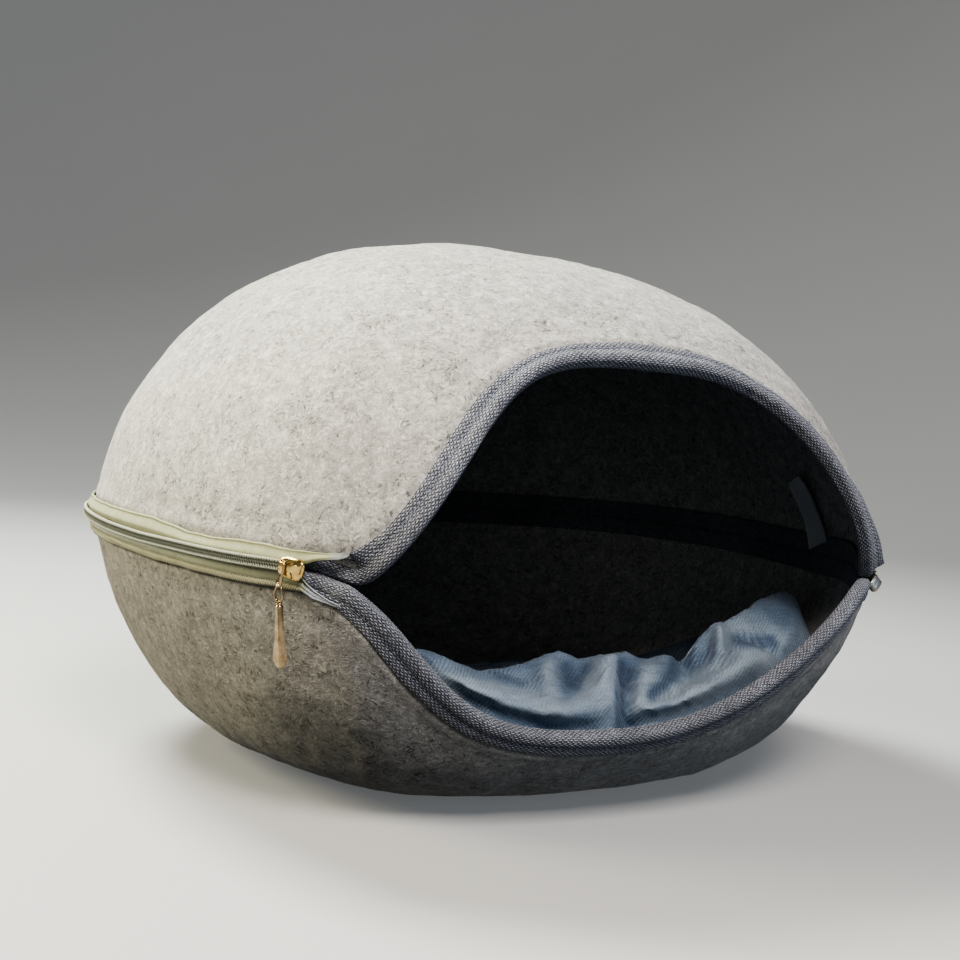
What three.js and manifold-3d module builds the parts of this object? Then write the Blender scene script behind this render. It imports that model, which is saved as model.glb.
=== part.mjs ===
// Felt pet hideout: two moulded felt half shells, each bound all round its rim
// with folded webbing, closed round the back by one zip and open at the front,
// with a slack cushion lying in the lower shell.
// Millimetres, +Z up, -Y is the front, the origin is on the floor under the
// middle of the object.
import * as THREE from 'three';
import { mergeVertices } from 'three/addons/utils/BufferGeometryUtils.js';
import Module from 'manifold-3d';

const wasm = await Module();
wasm.setup();

const { sin, cos, PI, abs, pow, min, max, hypot, asin, acos, exp, atan2, sqrt } = Math;
const V = (x, y, z) => new THREE.Vector3(x, y, z);
const DEG = PI / 180;

// ---------------------------------------------------------------- sizes (mm)
// The plane where the two shells meet is z = 0 while the pieces are worked out.
const UNIT = 216;                 // mean half width of the egg at that plane
// the plan of the egg: radius = UNIT + sum of AMP * cos(N * th), th = 0 at the front
const PLAN = [
  { N: 1, AMP: -57.3 },           // blunt at the front, long at the back
  { N: 3, AMP: 1.4 },
  { N: 4, AMP: -5.9 },
  { N: 5, AMP: 2.0 },
];
const CORNER = { left: 54.64 * DEG, right: 59.61 * DEG };  // where the rims part
const FLARE = { left: 8.7, right: 6.6, at: 57.5 * DEG, spread: 0.38 };
const SWAY = [                    // the meeting line is not quite a flat curve
  { N: 2, AMP: 1.85 },
  { N: 3, AMP: 2.0 },
];
const DIP = [                     // and it sags at the two corners
  { at: -57.5 * DEG, by: 1.4, spread: 0.38 },
  { at: 57.5 * DEG, by: -2.8, spread: 0.38 },
  { at: -53.6 * DEG, by: 7.0, spread: 0.09 },
  { at: 59.61 * DEG, by: 7.34, spread: 0.10 },
];
// upper shell: height, plan exponent, height exponent, Y of its crown
const UPPER = { H: 170.5, P: 2.40, DP: 0.015, Q: 1.775, Y0: 105.9 };
// lower shell: rounds off into a flat base
const LOWER = { H: 186.1, P: 2.30, DP: -0.131, Q: 1.52, Y0: 49.0 };
const BASE = { depth: 134.1, round: 50.3, flat: 1.3 };
// doorway: height from the meeting plane and the exponents of each S-shaped end
const ARCH = { height: 100.64, lean: 0.0451, left: { M: 4.26, Q: 2.50 }, right: { M: 2.58, Q: 1.45 } };
const LIP = { height: 85.12, lean: -0.1007, left: { M: 3.26, Q: 1.40 }, right: { M: 2.27, Q: 1.54 } };

const FELT = 4.0;                 // felt thickness
const WEB = 1.3;                  // binding webbing thickness
const EASE = 0.5;                 // between the webbing and the felt
const SPLIT = 2.3;                // half the gap between the two felt rims
const LEG = { door: 10.8, zipUp: 6.0, zipDown: 8.8, inside: 10.8 };
const ROW1 = 12.6;                // first row of the felt mesh, from the rim
const TAPE = { thick: 1.0, up: 8.4, down: 11.6, inner: 2.9, off: 2.3, swell: 1.2 };
const COIL = { half: 2.6, gap: 0.2, off: 3.7, thick: 2.4, fromLeft: 32.5, fromRight: 0.6 };
const TAIL = { right: 6.0, flare: { up: 4.6, down: 0.6 }, up: { length: 26, turn: 6.2 }, down: { length: 25, turn: 1.4 } };  // the tape's folded ends
const SLIDER = { length: 12.6, width: 10.4, base: 2.4, crown: 3.6, bar: 3.0, at: -61.3 * DEG };
const PULL = { link: 9.6, wire: 1.5, reach: 1.75, shift: -0.4, slant: -3.6, eye: { width: 4.8, height: 9.0, hole: 2.0 }, tab: 27.6, top: 3.8, low: 6.0, thick: 1.9, tilt: 3.9 * DEG };
const STOP = { length: 6.6, width: 7.6, thick: 3.2, at: 57.6 * DEG, drop: 3.4, tilt: 24 * DEG };
const LABEL = { width: 23, height: 45, thick: 0.9, at: 83.6 * DEG, z: 25.5, lean: 19 * DEG, off: 6.8 };
const CUSHION = { clear: 2.4, side: 2.0, cx: 18, cy: 26, rx: 173, ry: 134, square: 2.5, edge: 7, crown: 35, ridge: 38, thin: 15 };

// mesh steps
const N_DOOR = 28;
const N_BACK = 32;
const N_ROWS = 9;

// ------------------------------------------------------------ the egg shape
const near = (th, c, s) => exp(-(((th - c) / s) ** 2));
function wrap(th) { return atan2(sin(th), cos(th)); }
function planRadius(th) {
  let r = UNIT;
  for (const { N, AMP } of PLAN) r += AMP * cos(N * th);
  const t = wrap(th);
  return r + FLARE.right * near(t, FLARE.at, FLARE.spread) + FLARE.left * near(t, -FLARE.at, FLARE.spread);
}
function meetHeight(th) {
  let z = 0;
  for (const { N, AMP } of SWAY) z += AMP * cos(N * th);
  for (const d of DIP) z -= d.by * near(wrap(th), d.at, d.spread);
  return z;
}
function softMin(a, b, k) {
  const h = min(max(0.5 + 0.5 * (b - a) / k, 0), 1);
  return b * (1 - h) + a * h - k * h * (1 - h);
}
// a = 0 at the meeting plane, PI / 2 at the crown or the middle of the base
const shapeOf = { up: UPPER, low: LOWER };
function exps(side, th) { const s = shapeOf[side]; return [s.P + s.DP * cos(th), s.Q]; }
const riseOf = (side, th, a) => pow(max(sin(a), 0), 2 / exps(side, th)[1]);
const reachOf = (side, th, a) => pow(max(cos(a), 0), 2 / exps(side, th)[0]);
const angleOfRise = (side, th, w) => asin(min(pow(max(w, 0), exps(side, th)[1] / 2), 1));
function skin(side, th, a) {
  const s = shapeOf[side];
  const w = riseOf(side, th, a);
  const g = reachOf(side, th, a);
  const r = planRadius(th);
  const fade = (1 - w) ** 2;
  const x = sin(th) * r * g;
  const y = s.Y0 + (-cos(th) * r - s.Y0) * g;
  const lift = meetHeight(th) * fade;
  if (side === 'up') return V(x, y, s.H * w + lift);
  return V(x, y, max(lift - softMin(s.H * w, BASE.depth + BASE.flat, BASE.round), -BASE.depth));
}
function normalAt(side, th, a) {
  const e = 1e-4;
  const b = min(max(a, 2e-3), PI / 2 - 2e-3);
  const du = skin(side, th + e, b).sub(skin(side, th - e, b));
  const dv = skin(side, th, b + e).sub(skin(side, th, b - e));
  const n = du.cross(dv).normalize();
  return side === 'up' ? n : n.negate();
}

// --------------------------------------------------------- rims and stations
// The doorway edge: for a share s from -1 (left corner) to 1 (right corner).
function doorPoint(side, s) {
  const d = side === 'up' ? ARCH : LIP;
  const x0 = -sin(CORNER.left) * planRadius(-CORNER.left);
  const x1 = sin(CORNER.right) * planRadius(CORNER.right);
  const x = x0 + (x1 - x0) * (s + 1) / 2;
  const leaned = s - d.lean * (1 - s * s);
  const { M, Q } = leaned < 0 ? d.left : d.right;
  const h = SPLIT + (d.height - SPLIT) * pow(max(1 - pow(abs(leaned), M), 0), Q);
  const w = h / shapeOf[side].H;
  // the plan angle whose skin passes through x at this height
  let lo = -1.62, hi = 1.62;
  for (let i = 0; i < 50; i++) {
    const th = (lo + hi) / 2;
    const g = reachOf(side, th, angleOfRise(side, th, w));
    if (sin(th) * planRadius(th) * g < x) lo = th; else hi = th;
  }
  const th = s <= -1 ? -CORNER.left : s >= 1 ? CORNER.right : (lo + hi) / 2;
  return { th, a: angleOfRise(side, th, w) };
}
const DOOR_SPAN = CORNER.left + CORNER.right;
// closed ring of rim stations: the doorway from left to right, then the back
function rimStations(side) {
  const fine = [];
  const n = 600;
  let run = 0;
  for (let i = 0; i <= n; i++) {
    const q = doorPoint(side, sin((i / n - 0.5) * PI));
    q.p = skin(side, q.th, q.a);
    if (i) run += q.p.distanceTo(fine[i - 1].p);
    q.run = run;
    fine.push(q);
  }
  const out = [];
  for (let j = 0; j < N_DOOR; j++) {
    const want = run * j / N_DOOR;
    let i = fine.findIndex((q) => q.run >= want);
    if (i < 1) i = 0;
    const q = fine[i];
    const p = fine[max(i - 1, 0)];
    const f = i === 0 ? 0 : (want - p.run) / (q.run - p.run);
    const th = j === 0 ? -CORNER.left : p.th + (q.th - p.th) * f;
    out.push({ th, a: p.a + (q.a - p.a) * f, top: -CORNER.left + DOOR_SPAN * j / N_DOOR, back: false });
  }
  for (let j = 0; j < N_BACK; j++) {
    const th = CORNER.right + (2 * PI - DOOR_SPAN) * j / N_BACK;
    out.push({ th, a: angleOfRise(side, th, SPLIT / shapeOf[side].H), top: th, back: true });
  }
  // directions at each station: along the rim, outwards, and into the felt
  const N = out.length;
  for (const q of out) {
    q.p = skin(side, q.th, q.a);
    q.n = normalAt(side, q.th, q.a);
  }
  for (let j = 0; j < N; j++) {
    const q = out[j];
    const along = out[(j + 1) % N].p.clone().sub(out[(j + N - 1) % N].p).normalize();
    q.along = along.sub(q.n.clone().multiplyScalar(along.dot(q.n))).normalize();
    q.in = q.n.clone().cross(q.along).normalize();
    if (q.in.z * (side === 'up' ? 1 : -1) < 0) q.in.negate();
  }
  return out;
}
// walk over the skin from a station, by a length in its inward direction
function walk(side, q, length) {
  const goal = q.p.clone().add(q.in.clone().multiplyScalar(length));
  let { th, a } = q;
  for (let i = 0; i < 12; i++) {
    const e = 1e-4;
    const b = min(max(a, 1e-3), PI / 2 - 1e-3);
    const p = skin(side, th, b);
    const du = skin(side, th + e, b).sub(p).divideScalar(e);
    const dv = skin(side, th, b + e).sub(p).divideScalar(e);
    const r = goal.clone().sub(p);
    const A = du.dot(du), B = du.dot(dv), C = dv.dot(dv);
    const det = A * C - B * B;
    th += (C * du.dot(r) - B * dv.dot(r)) / det;
    a = b + (A * dv.dot(r) - B * du.dot(r)) / det;
  }
  // stretch so that the chord is the asked length
  return { th, a };
}

// ------------------------------------------------------------- mesh helpers
function geometryOf(points, faces) {
  const g = new THREE.BufferGeometry();
  g.setAttribute('position', new THREE.Float32BufferAttribute(points.flatMap((p) => [p.x, p.y, p.z]), 3));
  g.setIndex(faces.flat());
  g.computeVertexNormals();
  return g;
}
// signed volume, so that every closed mesh can be turned to face outwards
function outward(points, faces) {
  let v = 0;
  for (const [a, b, c] of faces) v += points[a].dot(points[b].clone().cross(points[c]));
  return v < 0 ? faces.map(([a, b, c]) => [a, c, b]) : faces;
}
// a loft through closed sections: round in a ring, or with its two ends capped
function loft(sections, ring) {
  const n = sections[0].length;
  const points = sections.flat();
  const faces = [];
  const m = sections.length;
  for (let i = 0; i < (ring ? m : m - 1); i++) {
    const i2 = (i + 1) % m;
    for (let j = 0; j < n; j++) {
      const j2 = (j + 1) % n;
      const a = i * n + j, b = i * n + j2, c = i2 * n + j2, d = i2 * n + j;
      faces.push([a, b, c], [a, c, d]);
    }
  }
  if (!ring) {
    for (const [at, flip] of [[0, true], [m - 1, false]]) {
      const mid = points.length;
      points.push(sections[at].reduce((s, p) => s.add(p), V(0, 0, 0)).divideScalar(n));
      for (let j = 0; j < n; j++) {
        const a = at * n + j, b = at * n + (j + 1) % n;
        faces.push(flip ? [mid, b, a] : [mid, a, b]);
      }
    }
  }
  return geometryOf(points, outward(points, faces));
}
// two polar sheets of the same layout (outer and inner), joined along their rims
function doubleSheet(outer, inner, outerPole, innerPole) {
  const rows = outer.length, n = outer[0].length;
  const points = [...outer.flat(), outerPole, ...inner.flat(), innerPole];
  const half = rows * n + 1;
  const faces = [];
  const sheet = (o, flip) => {
    const put = (a, b, c) => faces.push(flip ? [o + a, o + c, o + b] : [o + a, o + b, o + c]);
    for (let i = 0; i < rows - 1; i++) {
      for (let j = 0; j < n; j++) {
        const a = i * n + j, b = i * n + (j + 1) % n, c = a + n, d = b + n;
        // both sheets split each cell along the outer sheet's shorter diagonal
        if (points[a].distanceTo(points[d]) <= points[b].distanceTo(points[c])) {
          put(a, b, d); put(a, d, c);
        } else {
          put(a, b, c); put(b, d, c);
        }
      }
    }
    for (let j = 0; j < n; j++) put((rows - 1) * n + j, (rows - 1) * n + (j + 1) % n, rows * n);
  };
  sheet(0, false);
  sheet(half, true);
  for (let j = 0; j < n; j++) {
    const b = (j + 1) % n;
    faces.push([j, half + j, half + b], [j, half + b, b]);
  }
  return geometryOf(points, outward(points, faces));
}
function solidOf(geometry) {
  const g = geometry.clone();
  g.deleteAttribute('normal');
  if (g.attributes.uv) g.deleteAttribute('uv');
  const m = mergeVertices(g, 1e-4);
  return new wasm.Manifold(new wasm.Mesh({
    numProp: 3,
    vertProperties: new Float32Array(m.attributes.position.array),
    triVerts: new Uint32Array(m.index.array),
  }));
}
function geometryFrom(solid) {
  const m = solid.getMesh();
  const g = new THREE.BufferGeometry();
  g.setAttribute('position', new THREE.Float32BufferAttribute(m.vertProperties, 3));
  g.setIndex(Array.from(m.triVerts));
  g.computeVertexNormals();
  return g;
}

// ------------------------------------------------------------------- shells
const stations = { up: rimStations('up'), low: rimStations('low') };
for (const side of ['up', 'low']) {
  for (const q of stations[side]) {
    q.row1 = walk(side, q, ROW1);
    q.p1 = skin(side, q.row1.th, q.row1.a);
    q.n1 = normalAt(side, q.row1.th, q.row1.a);
  }
}

function shellGeometry(side) {
  const qs = stations[side];
  const outer = [], inner = [];
  const put = (list) => {
    outer.push(list.map(({ th, a }) => skin(side, th, a)));
    inner.push(list.map(({ th, a }) => skin(side, th, a).sub(normalAt(side, th, a).multiplyScalar(FELT))));
  };
  put(qs);
  put(qs.map((q) => q.row1));
  for (let k = 1; k < N_ROWS - 1; k++) {
    const t = k / (N_ROWS - 1);
    const ease = t * t * (3 - 2 * t);
    put(qs.map((q) => ({
      th: q.row1.th + (q.top - q.row1.th) * ease,
      a: q.row1.a + (PI / 2 - q.row1.a) * t,
    })));
  }
  const pole = skin(side, 0, PI / 2);
  return doubleSheet(outer, inner, pole, pole.clone().add(V(0, 0, side === 'up' ? -FELT : FELT)));
}

// ----------------------------------------------------------------- bindings
// A point beside a station: t into the felt along the faceted skin, n outwards.
function beside(q, t, n) {
  const f = min(max(t, 0), ROW1) / ROW1;
  const p = q.p.clone().lerp(q.p1, f);
  const d = q.n.clone().lerp(q.n1, f).normalize();
  if (t < 0) p.add(q.in.clone().multiplyScalar(t));
  return p.add(d.multiplyScalar(n));
}
// a station part of the way from one to the next, on the straight between them
function between(a, b, f) {
  const q = {};
  for (const k of ['p', 'p1', 'n', 'n1', 'in']) q[k] = a[k].clone().lerp(b[k], f);
  for (const k of ['n', 'n1', 'in']) q[k].normalize();
  return q;
}
// a station at a length past one, following the ring in a direction of +1 or -1
function past(side, j, length, step) {
  const qs = stations[side];
  let left = length;
  for (let i = j; ; i += step) {
    const a = qs[(i + qs.length) % qs.length], b = qs[(i + step + qs.length) % qs.length];
    const d = a.p.distanceTo(b.p);
    if (d >= left) return between(a, b, left / d);
    left -= d;
  }
}
// how far a station lies along the zip side, 0 in the doorway to 1 at the back
function zipShare(q) {
  const t = wrap(q.th);
  const far = t < 0 ? -t - CORNER.left : t - CORNER.right;
  return q.back ? min(max(far / (6 * DEG), 0), 1) : 0;
}
function bindingGeometry(side) {
  const legZip = side === 'up' ? LEG.zipUp : LEG.zipDown;
  const o = EASE + WEB;
  const sections = stations[side].map((q) => {
    const leg = LEG.door + (legZip - LEG.door) * zipShare(q);
    return [
      [leg, o], [0.4, o], [-o, EASE], [-o, -FELT - EASE], [0.4, -FELT - o], [LEG.inside, -FELT - o],
      [LEG.inside, -FELT - EASE], [-EASE, -FELT - EASE], [-EASE, EASE], [leg, EASE],
    ].map(([t, n]) => beside(q, t, n));
  });
  return loft(sections, true);
}

// ---------------------------------------------------------------------- zip
// Stations of the zip: the back of the rim, with the two corners, from the
// right corner round the back to the left one.
function zipStations(side) {
  const qs = stations[side];
  return [...qs.slice(N_DOOR), qs[0]];
}
// a section given as [height past the meeting plane, distance out] on a side
function zipSection(q, list) {
  return list.map(([h, n]) => beside(q, h - SPLIT, n));
}
function tapeGeometry(side) {
  const edge = side === 'up' ? TAPE.up : TAPE.down;
  const a = TAPE.off, b = TAPE.off + TAPE.thick;
  const flat = (low, high, swell) => [[low, a], [high, a], [high, b], [(low + high) / 2, b + swell], [low, b]];
  const tail = side === 'up' ? TAIL.up : TAIL.down;
  const qs = stations[side];
  let run = 0;
  const clear = zipStations(side).filter((q, i, list) => {
    run = 0;
    for (let k = i; k < list.length - 1; k++) run += list[k].p.distanceTo(list[k + 1].p);
    return run > tail.length + 1;
  });
  const sections = clear.map((q) => zipSection(q, flat(TAPE.inner, edge, TAPE.swell)));
  // the right end runs on a little past the stop
  // standing off a little, above all the upper one
  const stand = side === 'up' ? TAIL.flare.up : TAIL.flare.down;
  const lifted = (list, d) => list.map(([h, n]) => [h, n + d]);
  sections.unshift(zipSection(past(side, N_DOOR, TAIL.right * 0.5, -1), lifted(flat(TAPE.inner + 0.7, edge - 0.3, 0.5), stand * 0.4)));
  sections.unshift(zipSection(past(side, N_DOOR, TAIL.right, -1), lifted(flat(TAPE.inner + 1.2, edge - 0.6, 0.3), stand)));
  // the left end runs on past the slider, turned away from the meeting line and
  // folded to a point
  for (const f of [0, 0.34, 0.67, 1]) {
    const low = TAPE.inner + (edge - TAPE.inner + tail.turn) * 0.86 * f;
    const high = edge + tail.turn * f;
    sections.push(zipSection(past(side, qs.length, tail.length * (1 - f) + 0.01, -1), flat(low, high, TAPE.swell * (1 - f) + 0.1)));
  }
  return loft(sections, false);
}
function coilGeometry(side) {
  const c = COIL;
  const all = zipStations(side);
  const list = all.filter((q) => {
    const t = wrap(q.th);
    return !(t < 0 && t > SLIDER.at - 6 * DEG) && !(t > 0 && t < STOP.at + 4 * DEG);
  });
  // the chain runs right up to the slider and the stop
  list.push(past(side, stations[side].length, COIL.fromLeft, -1));
  list.unshift(past(side, N_DOOR, COIL.fromRight, 1));
  const sections = list.map((q) => zipSection(q, [
    [c.gap, c.off + 0.3], [c.half * 0.6, c.off], [c.half, c.off + 0.4], [c.half, c.off + c.thick * 0.7],
    [c.half * 0.6, c.off + c.thick], [c.gap, c.off + c.thick * 0.8]]));
  return loft(sections, false);
}
// the frame on the zip line at a plan angle: along it, up and outwards
function zipFrame(th) {
  const p = skin('up', th, 0);
  const e = 1e-3;
  const along = skin('up', th + e, 0).sub(skin('up', th - e, 0)).normalize();
  const up = V(0, 0, 1).sub(along.clone().multiplyScalar(along.z)).normalize();
  const out = along.clone().cross(up).normalize();
  return { p, along, up, out };
}
function placed(geometry, { p, along, up, out }, n) {
  const m = new THREE.Matrix4().makeBasis(along, up, out);
  geometry.applyMatrix4(m);
  const q = p.clone().add(out.clone().multiplyScalar(n));
  geometry.translate(q.x, q.y, q.z);
  return geometry;
}
// slider: a heart-shaped plate with a hollow crown that holds the pull
function sliderGeometry() {
  const { length: L, width: W, base, crown } = SLIDER;
  const plan = new THREE.Shape();
  // x runs along the zip; the wide shoulders face the doorway
  plan.moveTo(-L / 2, -W * 0.30);
  plan.lineTo(-L / 2, W * 0.30);
  plan.quadraticCurveTo(-L * 0.1, W * 0.36, L * 0.12, W * 0.5);
  plan.quadraticCurveTo(L * 0.42, W * 0.5, L / 2, W * 0.24);
  plan.lineTo(L * 0.40, 0);
  plan.lineTo(L / 2, -W * 0.24);
  plan.quadraticCurveTo(L * 0.42, -W * 0.5, L * 0.12, -W * 0.5);
  plan.quadraticCurveTo(-L * 0.1, -W * 0.36, -L / 2, -W * 0.30);
  const plate = new THREE.ExtrudeGeometry(plan, {
    depth: base - 1.0, bevelEnabled: true, bevelSize: 0.5, bevelThickness: 0.5, bevelSegments: 1, curveSegments: 6,
  });
  plate.translate(0, 0, 0.5);
  // the crown is an arch along the zip, with an opening across it
  const arch = new THREE.Shape();
  const r = crown;
  arch.moveTo(-L * 0.42, 0);
  arch.quadraticCurveTo(-L * 0.42, r, -L * 0.24, r);
  arch.lineTo(L * 0.18, r);
  arch.quadraticCurveTo(L * 0.34, r, L * 0.38, 0);
  const hole = new THREE.Path();
  hole.moveTo(-L * 0.29, 0.15);
  hole.lineTo(L * 0.20, 0.15);
  hole.quadraticCurveTo(L * 0.20, r - 1.15, L * 0.12, r - 1.15);
  hole.lineTo(-L * 0.23, r - 1.15);
  hole.quadraticCurveTo(-L * 0.29, r - 1.15, -L * 0.29, 0.15);
  arch.holes.push(hole);
  const bridge = new THREE.ExtrudeGeometry(arch, { depth: SLIDER.bar, bevelEnabled: false, curveSegments: 6 });
  bridge.translate(0, 0, -SLIDER.bar / 2);
  bridge.rotateX(PI / 2);
  bridge.translate(0, 0, base - 0.2);
  return geometryFrom(solidOf(plate).add(solidOf(bridge)));
}
// pull: a wire link through the crown, slanting back to a flat eye, a collar and
// a tab that widens downwards to a rounded point. Drawn hanging, y down.
function pullGeometry() {
  const { link, wire, reach, slant, eye, tab, top, low, thick, tilt } = PULL;
  const ring = [];
  const ry = (link - wire) / 2;
  for (let i = 0; i < 20; i++) {
    // a stadium: two straight legs, before and behind the crown's bar
    const t = (i + 0.5) / 20 * 2 * PI;
    const shift = (cos(t) > 0 ? 1 : -1) * (ry - reach);
    const y = -ry + shift + reach * cos(t);
    ring.push(V(slant * pow(min(-y / (2 * ry), 1), 1.6), y, reach * sin(t)));
  }
  const sections = ring.map((p, i) => {
    const q = ring[(i + 1) % 20].clone().sub(ring[(i + 19) % 20]).normalize();
    const side = V(1, 0, 0).sub(q.clone().multiplyScalar(q.x)).normalize();
    const other = q.clone().cross(side).normalize();
    return [...Array(8).keys()].map((k) => {
      const u = k / 8 * 2 * PI;
      return p.clone().add(side.clone().multiplyScalar(wire / 2 * cos(u))).add(other.clone().multiplyScalar(wire / 2 * sin(u)));
    });
  });
  const wireLink = loft(sections, true);
  // everything below the link, drawn round the foot of the link
  const plate = (shape, t) => {
    const g = new THREE.ExtrudeGeometry(shape, {
      depth: t - 1.0, bevelEnabled: true, bevelSize: 0.45, bevelOffset: -0.45, bevelThickness: 0.5, bevelSegments: 1, curveSegments: 6,
    });
    g.translate(0, 0, -(t - 1.0) / 2);
    return g;
  };
  const ringShape = new THREE.Shape();
  ringShape.absellipse(0, -eye.height / 2 + 1.2, eye.width / 2, eye.height / 2, 0, 2 * PI, false, 0);
  const holePath = new THREE.Path();
  holePath.absellipse(0, -eye.height / 2 + 1.0, eye.hole / 2, eye.hole * 0.95, 0, 2 * PI, true, 0);
  ringShape.holes.push(holePath);
  const eyeRing = plate(ringShape, 2.1);
  const collar = new THREE.CylinderGeometry(1.75, 1.95, 2.6, 14);
  collar.translate(0, -eye.height + 1.0, 0);
  const y0 = -eye.height + 0.6;
  const y1 = y0 - tab;
  const leaf = new THREE.Shape();
  leaf.moveTo(-top / 2, y0);
  leaf.lineTo(-top / 2 - 0.1, y0 - tab * 0.30);
  leaf.lineTo(-low / 2, y1 + tab * 0.26);
  leaf.quadraticCurveTo(-low / 2, y1 + tab * 0.08, 0, y1);
  leaf.quadraticCurveTo(low / 2, y1 + tab * 0.08, low / 2, y1 + tab * 0.26);
  leaf.lineTo(top / 2 + 0.1, y0 - tab * 0.30);
  leaf.lineTo(top / 2, y0);
  const blade = plate(leaf, thick);
  const hung = solidOf(eyeRing).add(solidOf(collar)).add(solidOf(blade));
  const lower = geometryFrom(hung);
  lower.rotateZ(tilt);
  lower.translate(slant, -2 * ry, 0);
  return geometryFrom(solidOf(wireLink).add(solidOf(lower)));
}
// bottom stop: a small bent clip over the last teeth
function stopGeometry() {
  const { length: L, width: W, thick } = STOP;
  const s = new THREE.Shape();
  s.moveTo(-W / 2, 0);
  s.lineTo(-W / 2, thick * 0.62);
  s.quadraticCurveTo(-W / 2, thick, -W * 0.26, thick);
  s.lineTo(W * 0.26, thick);
  s.quadraticCurveTo(W / 2, thick, W / 2, thick * 0.62);
  s.lineTo(W / 2, 0);
  const g = new THREE.ExtrudeGeometry(s, {
    depth: L - 0.8, bevelEnabled: true, bevelSize: 0.35, bevelOffset: -0.35, bevelThickness: 0.4, bevelSegments: 1, curveSegments: 4,
  });
  g.translate(0, 0, -(L - 0.8) / 2);
  // the extrusion runs along the zip
  g.applyMatrix4(new THREE.Matrix4().makeBasis(V(0, 1, 0), V(0, 0, 1), V(1, 0, 0)));
  return g;
}

// -------------------------------------------------------------------- label
// a bare woven tab, sewn at its foot to the inner leg of the upper binding and
// leaning up the inside of the felt with a slight curl
function labelGeometry() {
  const out = [];
  const steps = 6;
  const r = planRadius(LABEL.at);
  for (let i = 0; i <= steps; i++) {
    const v = LABEL.height * (i / steps - 0.5);
    const curl = 1.6 * (i / steps) ** 2;
    const face = [], back = [];
    for (const u of [-0.5, 0, 0.5]) {
      const across = -u * LABEL.width * cos(LABEL.lean) + v * sin(LABEL.lean);
      const z = LABEL.z + u * LABEL.width * sin(LABEL.lean) + v * cos(LABEL.lean);
      const th = LABEL.at + across / r;
      const a = angleOfRise('up', th, (z - meetHeight(th)) / UPPER.H);
      const p = skin('up', th, a);
      const n = normalAt('up', th, a);
      face.push(p.clone().sub(n.clone().multiplyScalar(LABEL.off + curl + LABEL.thick)));
      back.unshift(p.clone().sub(n.clone().multiplyScalar(LABEL.off + curl)));
    }
    out.push([...face, ...back]);
  }
  return loft(out, false);
}

// ------------------------------------------------------------------ cushion
// height of the lower shell's inner face over a point of the plan
function bowlFloor(x, y) {
  const s = LOWER;
  const dy = y - s.Y0;
  const want = atan2(x, -dy);
  let lo = -PI, hi = PI;
  const bearing = (th) => { const r = planRadius(th); return atan2(sin(th) * r, cos(th) * r + s.Y0); };
  for (let i = 0; i < 46; i++) { const m = (lo + hi) / 2; if (bearing(m) < want) lo = m; else hi = m; }
  const th = (lo + hi) / 2;
  const r = planRadius(th);
  const reach = hypot(sin(th) * r, cos(th) * r + s.Y0);
  // the inner face is FELT inside the outer one, measured square to it
  const g = (hypot(x, dy) + CUSHION.side) / reach;
  const level = (gg) => {
    const a = acos(min(pow(min(gg, 0.9995), exps('low', th)[0] / 2), 1));
    return skin('low', th, a).z;
  };
  const e = 0.002;
  const slope = (level(min(g + e, 0.999)) - level(min(g - e, 0.997))) / (2 * e * reach);
  return level(g) + FELT * sqrt(1 + slope * slope);
}
// swellings of the top: a hill or hollow at x, y with its reach and height
const LUMPS = [
  { x: -8, y: -62, rx: 26, ry: 26, h: 11 },
  { x: 38, y: -66, rx: 24, ry: 24, h: 8 },
  { x: 16, y: -84, rx: 11, ry: 30, h: -8 },
  { x: -56, y: -56, rx: 22, ry: 30, h: -7 },
  { x: -104, y: -64, rx: 28, ry: 34, h: 26 },
  { x: 84, y: -62, rx: 30, ry: 24, h: 4 },
  { x: 172, y: -34, rx: 40, ry: 46, h: 76 },
];
function cushionGeometry() {
  const c = CUSHION;
  const cols = 40, rows = 9;
  const edgeAt = (ph) => {
    return pow(pow(abs(cos(ph)) / c.rx, c.square) + pow(abs(sin(ph)) / c.ry, c.square), -1 / c.square);
  };
  const top = [], bottom = [];
  const crest = (x, y) => {
    let z = c.crown + c.ridge * exp(-(((y + 66) / (y > -66 ? 50 : 34)) ** 2)) * exp(-(((x - 10) / 150) ** 6));
    for (const L of LUMPS) z += L.h * exp(-(((x - L.x) / L.rx) ** 2) - (((y - L.y) / L.ry) ** 2));
    return z - BASE.depth;
  };
  for (let i = 0; i < rows; i++) {
    // from the edge (i = 0) inwards
    const f = 1 - pow(i / rows, 1.35);
    const t = [], b = [];
    for (let j = 0; j < cols; j++) {
      const ph = j / cols * 2 * PI;
      const full = edgeAt(ph);
      // draw the edge in where the bowl would rise over it
      const r = full * f;
      const x = c.cx + r * cos(ph), y = c.cy + r * sin(ph);
      const floor = bowlFloor(x, y) + c.clear;
      const puff = sqrt(max(1 - pow(f, 9), 0));
      const body = max(crest(x, y) - floor, c.thin);
      t.push(V(x, y, floor + c.edge * 1.2 + (body - c.edge) * puff));
      b.push(V(x, y, floor + (i === 0 ? c.edge * 0.6 : 0)));
    }
    top.push(t); bottom.push(b);
  }
  const z0 = bowlFloor(c.cx, c.cy) + c.clear;
  return doubleSheet(top, bottom, V(c.cx, c.cy, max(crest(c.cx, c.cy), z0 + c.thin)), V(c.cx, c.cy, z0));
}

// --------------------------------------------------------------- the object
const finish = (color, roughness, metalness = 0) =>
  new THREE.MeshStandardMaterial({ color, roughness, metalness, side: THREE.DoubleSide });
const felt = finish(0xb9b6b0, 1.0);
const webbing = finish(0x5d6674, 0.9);
const sage = finish(0xb2b294, 0.85);
const nylon = finish(0x8d9480, 0.55);
const gold = finish(0xc9a36a, 0.28, 1.0);
const steel = finish(0xa9a9a6, 0.3, 1.0);
const twill = finish(0x46607f, 0.8);
const tag = finish(0x14151a, 0.8);

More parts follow.
